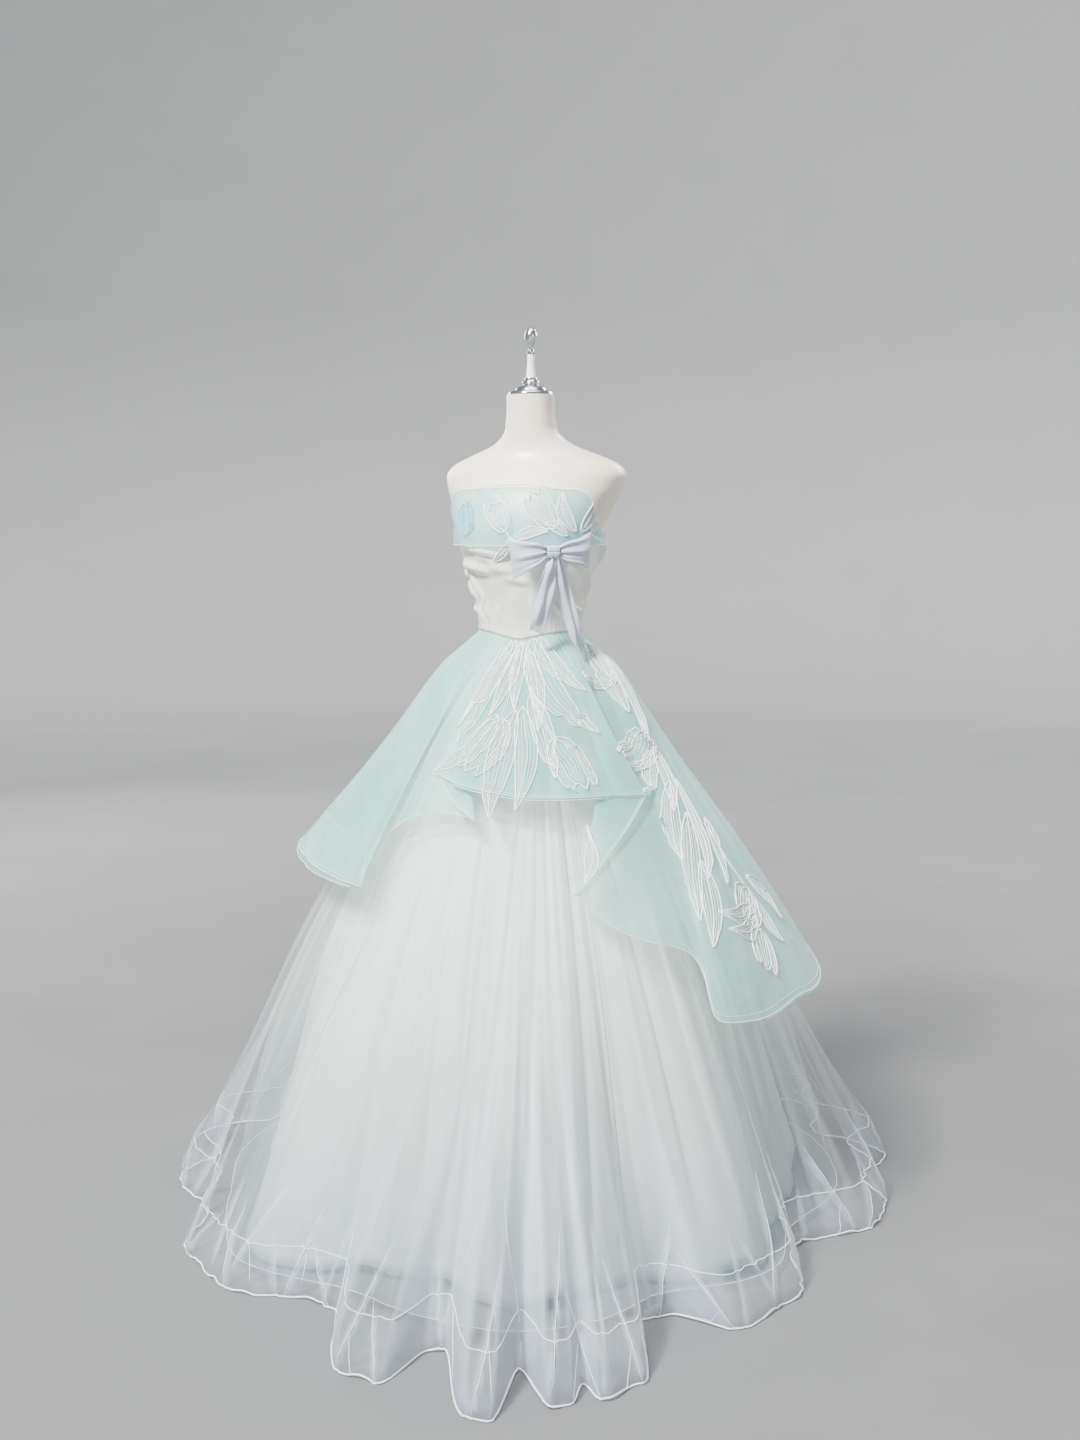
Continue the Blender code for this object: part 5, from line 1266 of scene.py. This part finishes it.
def motif_lines(kind, length, half):
    """Thread lines of one motif, as places (share of its length, share of its half
    width) with the thread's radius, outlines first."""
    steps = max(14, round(length / 0.0045))
    lines = []

    def work(t, aside, radius):
        lines.append((np.stack([t, aside], 1), radius))

    def fill(starts, reach, near, far, width):
        part = np.linspace(0, 1, 4)
        for start in starts:
            place = start + part * reach / length
            work(place, (near + far * part) * width(place), FILL_THREAD)

    t = np.linspace(0, 1, steps)
    if kind == "stem":
        for side in (-1.0, 1.0):
            work(t, np.full(steps, side), STEM_THREAD)
    elif kind == "leaf":
        for side in (-1.0, 1.0):
            work(t, side * leaf_width(t), LEAF_EDGE)
        work(t[:-1], 0.06 * np.sin(t[:-1] * 5), LEAF_RIB)
        for side, start, end in LEAF_LINES:
            part = np.linspace(start, end, max(8, round(steps * (end - start) * 0.8)))
            work(part, side * leaf_width(part), LEAF_LINE)
        fill(np.arange(0.10, 0.84, 0.0055 / length), 0.011, -0.10, -0.80, leaf_width)
    else:
        for side in (-1.0, 1.0):
            for places, radius in ((TULIP_SIDE, TULIP_EDGE), (TULIP_LIP, TULIP_EDGE),
                                   (TULIP_PETAL, PETAL_EDGE)):
                line = eased_line(places, max(9, round(steps * 0.8)))
                lines.append((line * (1.0, side), radius))
            for inner in (0.68, 0.84):
                part = np.linspace(0.16 + 0.3 * (inner - 0.64), 0.90, steps // 2 + 4)
                work(part, side * inner * tulip_width(part), TULIP_LINE)
            for inner in (0.12, 0.34):
                part = np.linspace(0.08 + 0.4 * inner, 0.96 - 0.3 * inner, steps // 2 + 4)
                work(part, side * inner * np.sin(pi * part ** 0.7) ** 0.5, TULIP_LINE)
        fill(np.arange(0.12, 0.80, 0.005 / length), 0.007, 0.56, 0.38, tulip_width)
    return lines


def tree_of(grids):
    """A tree of cloth grids, to find the nearest place on them."""
    spots, faces, count = [], [], 0
    for points in grids:
        columns, rows = points.shape[:2]
        spots.append(points.reshape(-1, 3))
        faces.append(grid_faces(columns, rows) + count)
        count += columns * rows
    return BVHTree.FromPolygons(np.concatenate(spots).tolist(), np.concatenate(faces).tolist())


def snapped(tree, places):
    """The nearest places on the cloth and its normals there, pointing outward."""
    spots, normals = np.empty_like(places), np.empty_like(places)
    for k, place in enumerate(places):
        found, normal, _, _ = tree.find_nearest(Vector(place))
        if normal.x * place[0] + normal.y * place[1] < 0:
            normal = -normal
        spots[k], normals[k] = found, normal
    return spots, normals


def embroider(name, tree, chart, motifs, finish=THREAD):
    """All the motifs on one cloth: their threads as one piece, and as another the fine
    net that they are worked on."""
    threads, spots, faces, cut = [], [], [], []
    for kind, base, tip, half, bend in motifs:
        t = np.linspace(0, 1, 33)
        middle, normals = snapped(tree, chart(mix(base[0], tip[0], t), mix(base[1], tip[1], t)))
        along = np.gradient(middle, axis=0)
        length = float(np.linalg.norm(along, axis=1).sum())
        along /= np.linalg.norm(along, axis=1, keepdims=True)
        side = np.cross(normals, along)

        def worked(places):
            at_t = np.clip(places[:, 0], 0, 1)
            centre = np.stack([np.interp(at_t, t, middle[:, k]) for k in range(3)], 1)
            aside = np.stack([np.interp(at_t, t, side[:, k]) for k in range(3)], 1)
            over = np.maximum(places[:, :1] - 1.0, 0.0) * length * along[-1]
            sway = bend * np.sin(pi * at_t) * (0.8 + 0.4 * at_t)
            return centre + over + aside * (places[:, 1] * half + sway)[:, None]

        for places, radius in motif_lines(kind, length, half):
            line, across = snapped(tree, worked(places))
            threads.append((line + across * (EMBROIDERY_LIFT + radius * 0.5), across, radius))
        if kind == "stem":
            continue
        width = leaf_width if kind == "leaf" else tulip_width
        grid_t = np.repeat(np.linspace(0.01, 0.99, 26), 7)
        grid_s = np.tile(np.linspace(-0.97, 0.97, 7), 26)
        patch, across = snapped(tree, worked(np.stack([grid_t, grid_s * width(grid_t)], 1)))
        faces.append(grid_faces(26, 7) + len(spots) * 26 * 7)
        spots.append(patch + across * EMBROIDERY_LIFT * 0.5)
        cut.append(np.stack([grid_s * half, grid_t * length], 1))
    worked_threads = tubes(name + "_threads", threads, finish, 4)
    faces = np.concatenate(faces)
    net = mesh_object(name + "_net", np.concatenate(spots), faces, NET)
    add_cut(net, np.concatenate(cut), faces)
    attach(net, "root")
    return [worked_threads, net]


def skirt_chart(angle, down):
    return skirt(angle, down, 0.001 + (0.033 + 0.03 * down) * ease(down, 0.0, 0.14))


def band_chart(angle, height):
    return bodice_place(seam_angle(angle, height), height, 0.008)


def extended_overskirt():
    """The overskirt's surface, carried on a little past its hem for motifs that hang over it."""
    column = overskirt_columns(-94.0, 180.0, 2.0)[:, None]
    share = np.linspace(0.0, 1.16, 66)[None, :]
    return overskirt(column, share, OVERSKIRT_TOP, 0.0)


def extended_band():
    """The front of the band, and the satin just below it for a leaf that hangs over its edge."""
    angle = np.linspace(-92, 92, 180)[:, None]
    below = np.linspace(1.320, 1.270, 14)[None, :]
    low = bodice_place(seam_angle(angle, below), below, 0.0022 + 0.008 * ease(below, 1.285, 1.322))
    return [band_grid(*BAND_SEAMS[1:3], BAND_ROWS), low]


# Bow

def bow_place(along, out, up):
    turn = radians(BOW_ANGLE)
    along, out, up = np.broadcast_arrays(along, out, up)
    points = at(BOW_ANGLE, BOW_STAND + out, BOW_HEIGHT + up)
    return points + along[..., None] * np.array([cos(turn), sin(turn), 0.0])


def loop_grid(side, length, tall, droop, slant):
    steps = np.linspace(0, len(LOOP_PATH) - 1, 73)[:, None]
    rows = np.arange(len(LOOP_PATH), dtype=float)
    share = np.clip(curve_through(steps, rows, LOOP_PATH[:, 0]), 0.0, 1.0)
    depth = curve_through(steps, rows, LOOP_PATH[:, 1])
    across = np.linspace(1.0, -1.0, 41)[None, :]
    half = mix(LOOP_PINCH, tall, share ** 0.8)
    reach = share * length * (1 - slant * (1 - across) / 2)
    pleat = np.cos(across * pi * 2.5) + 0.5 * np.cos(across * pi * 4.6 + 0.8)
    fade = (1 - share) ** 0.8 + 0.25 * np.sin(share * pi)
    out = LOOP_BACK + depth + 0.0019 * pleat * fade - LOOP_CURL * share * share
    out = out - 0.0050 * share * np.maximum(across - 0.15, 0.0)
    out = out + 0.0024 * share * np.cos(across * 2.2 - 0.6)
    sharp = np.abs(np.sin(pi * (across * 1.7 + 0.25 + 0.12 * share)))
    out = out - 0.0022 * (1 - sharp) ** 2 * (1 - share) ** 0.6 * (share > 0)
    edge = 0.0015 * np.sin(share * 7.0) * across
    return bow_place(side * (KNOT_SIZE[0] / 2 + 0.0001 + reach), out,
                     droop * share + half * across + edge)


def tail_grid(table, ridge, slant):
    steps = np.linspace(0, len(table) - 1, 61)[:, None]
    rows = np.arange(len(table), dtype=float)
    up, along, out, half = (curve_through(steps, rows, table[:, k]) for k in range(4))
    across = np.linspace(-1.0, 1.0, 25)[None, :]
    last = ease(steps, len(table) - 2.2, len(table) - 1)
    ripple = 0.0020 * np.sin(steps * 2.3 + across * 1.8)
    ripple = ripple + 0.0024 * np.cos(across * 5.0 + steps * 0.5) * (1 - last)
    fold = np.sqrt(np.clip(1.0 - np.abs(across), 0.0, 1.0) ** 2 + 0.02)
    return bow_place(along + half * across, out + ridge * fold + ripple, up - slant * across * last)


def knot_grid():
    """A wrap of ribbon round the middle of the bow, pinched at both its open ends."""
    turn = np.linspace(0, 2 * pi, 73)[:, None]
    along = np.linspace(-1.0, 1.0, 25)[None, :]
    out, up = (np.sign(wave) * np.abs(wave) ** (2 / 3.4) * (size / 2 - 0.0006)
               for wave, size in zip((np.cos(turn), np.sin(turn)), KNOT_SIZE[1:]))
    pinch = 1 - 0.10 * np.abs(along) ** 3
    pinch = pinch - 0.035 * (1 + np.cos(along * pi * 2.3 + 0.6 * np.sin(turn * 2)))
    return bow_place(along * (KNOT_SIZE[0] / 2 - 0.0003), out * pinch, up * pinch)


def clear_of(points, tree, gap):
    """The same places, but those over a cloth are moved out to at least this gap from it."""
    spots, normals = snapped(tree, points.reshape(-1, 3))
    apart = points.reshape(-1, 3) - spots
    depth = (apart * normals).sum(1)
    over = np.abs(depth) > 0.8 * np.linalg.norm(apart, axis=1)
    push = np.where(over, np.maximum(gap - depth, 0.0), 0.0)
    return points + (push[:, None] * normals).reshape(points.shape)


def build_bow():
    band = tree_of([band_grid(*BAND_SEAMS[1:3], BAND_ROWS)])
    pieces = (
        ("bow_loop_right", loop_grid(-1, 0.073, 0.040, -0.013, 0.16)),
        ("bow_loop_left", clear_of(loop_grid(1, 0.069, 0.034, 0.002, 0.06), band, BOW_CLEAR)),
        ("bow_tail_right", tail_grid(TAIL_WIDE, 0.0030, 0.006)),
        ("bow_tail_left", tail_grid(TAIL_FOLDED, 0.007, 0.0)),
        ("bow_knot", knot_grid()),
    )
    for node, points in pieces:
        obj = cloth("satin_" + node, points, RIBBON, RIBBON_WALL)
        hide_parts(node)


# Studio

FLOOR_REACH = 9.0
WALL_CURVE = 3.0
WALL_TOP = 7.0


def build_stage():
    """A pale floor that curves up into a low round wall, well outside every view's camera."""
    profile = [(0.0, 0.0), (2.0, 0.0), (5.0, 0.0), (FLOOR_REACH, 0.0)]
    profile += [(FLOOR_REACH + WALL_CURVE * sin(t), WALL_CURVE - WALL_CURVE * cos(t))
                for t in np.linspace(0.1, pi / 2, 12)]
    profile += [(FLOOR_REACH + WALL_CURVE, WALL_TOP)]
    angles = np.linspace(0, 360, 96, endpoint=False)
    radius, height = (np.array(column) for column in zip(*profile))
    radius[0] = 0.02
    points = at(angles[:, None], radius[None, :], height[None, :])
    made, tree, shader = material("studio_floor", (0.42, 0.43, 0.44), 0.85)
    place = object_place(tree)
    # Painted light: the colour is darker near the gown and grows lighter far out and up the wall,
    # evening out the backdrop where less light reaches it, under a faint mottle
    apart = add(tree, "VectorMath", {0: place, 1: (1.0, 1.0, 0.3)}, operation="MULTIPLY")
    away = add(tree, "VectorMath", {0: apart.outputs[0]}, operation="LENGTH").outputs["Value"]
    painted_light_and_mottle = add(tree, "Math", {0: spread(tree, away, 0.25, 0.75, 1.2, 9.0),
                                 1: spread(tree, noise(tree, place, 1.5), -0.03, 0.03)},
                  operation="ADD")
    tinted(tree, shader, painted_light_and_mottle.outputs[0], (0.150, 0.152, 0.155), (0.46, 0.465, 0.47))
    index = np.arange(points.shape[0] * points.shape[1]).reshape(points.shape[:2])
    faces = grid_faces(*points.shape[:2], wrap=True)[:, ::-1].tolist() + [index[:, 0].tolist()]
    obj = mesh_object("studio_floor", points, faces, made)


# Area lights: place, where it aims, width and height, power in watts
LIGHTS = (
    ("key", (-1.0, -2.6, 3.8), (0.0, 0.0, 1.15), (0.5, 0.5), 370),
    ("fill", (4.2, -3.6, 2.2), (0.0, 0.0, 0.8), (2.2, 2.2), 45),
    ("low_front", (0.6, -4.8, 0.9), (0.1, 0.0, 0.4), (3.0, 0.9), 14),
    ("back_left", (3.0, 4.2, 3.4), (0.0, 0.0, 0.8), (2.4, 2.0), 160),
    ("back_right", (-3.8, 3.4, 2.6), (0.0, 0.0, 0.8), (2.2, 2.0), 130),
    ("top", (0.0, -0.4, 4.8), (0.0, 0.0, 0.5), (2.6, 2.6), 120),
)


def area_light(name, place, aim, size, power):
    light = bpy.data.lights.new(name, "AREA")
    light.shape = "RECTANGLE"
    light.size, light.size_y = size
    light.energy = power
    obj = bpy.data.objects.new(name, light)
    obj.location = place
    obj.rotation_euler = (Vector(aim) - Vector(place)).to_track_quat("-Z", "Y").to_euler()
    obj.visible_camera = False
    bpy.context.scene.collection.objects.link(obj)


def build_light():
    world = bpy.data.worlds.new("studio")
    bpy.context.scene.world = world
    world.use_nodes = True
    background = world.node_tree.nodes["Background"]
    background.inputs["Color"].default_value = (0.93, 0.96, 1.0, 1.0)
    background.inputs["Strength"].default_value = 0.30
    for name, energy, toward in (("sky", 3.9, (0.26, 0.66, -0.80)),
                                 ("sky_behind", 1.3, (-0.20, -0.80, -0.45))):
        sun = bpy.data.lights.new(name, "SUN")
        sun.energy = energy
        sun.angle = radians(14)
        holder = bpy.data.objects.new(name, sun)
        holder.rotation_euler = Vector(toward).to_track_quat("-Z", "Y").to_euler()
        bpy.context.scene.collection.objects.link(holder)
    for light in LIGHTS:
        area_light(*light)


def build_camera():
    camera = bpy.data.cameras.new("camera")
    camera.sensor_fit = "VERTICAL"
    camera.sensor_width = camera.sensor_height = CAMERA_SENSOR
    camera.lens = CAMERA_LENS
    camera.shift_x = CAMERA_SHIFT
    obj = bpy.data.objects.new("camera", camera)
    turn, tilt = radians(CAMERA_TURN), radians(CAMERA_DOWN)
    obj.location = (sin(turn) * CAMERA_FROM, -cos(turn) * CAMERA_FROM, CAMERA_HEIGHT)
    forward = Vector((-sin(turn) * cos(tilt), cos(turn) * cos(tilt), -sin(tilt)))
    obj.rotation_euler = forward.to_track_quat("-Z", "Y").to_euler()
    bpy.context.scene.collection.objects.link(obj)
    bpy.context.scene.camera = obj


build_camera()
build_light()
build_stage()
finish_nodes()
build_form()
build_fittings()
build_bodice()
build_band()
build_lining()
build_under_tulle()
build_tulle()
build_overskirt()
build_bow()
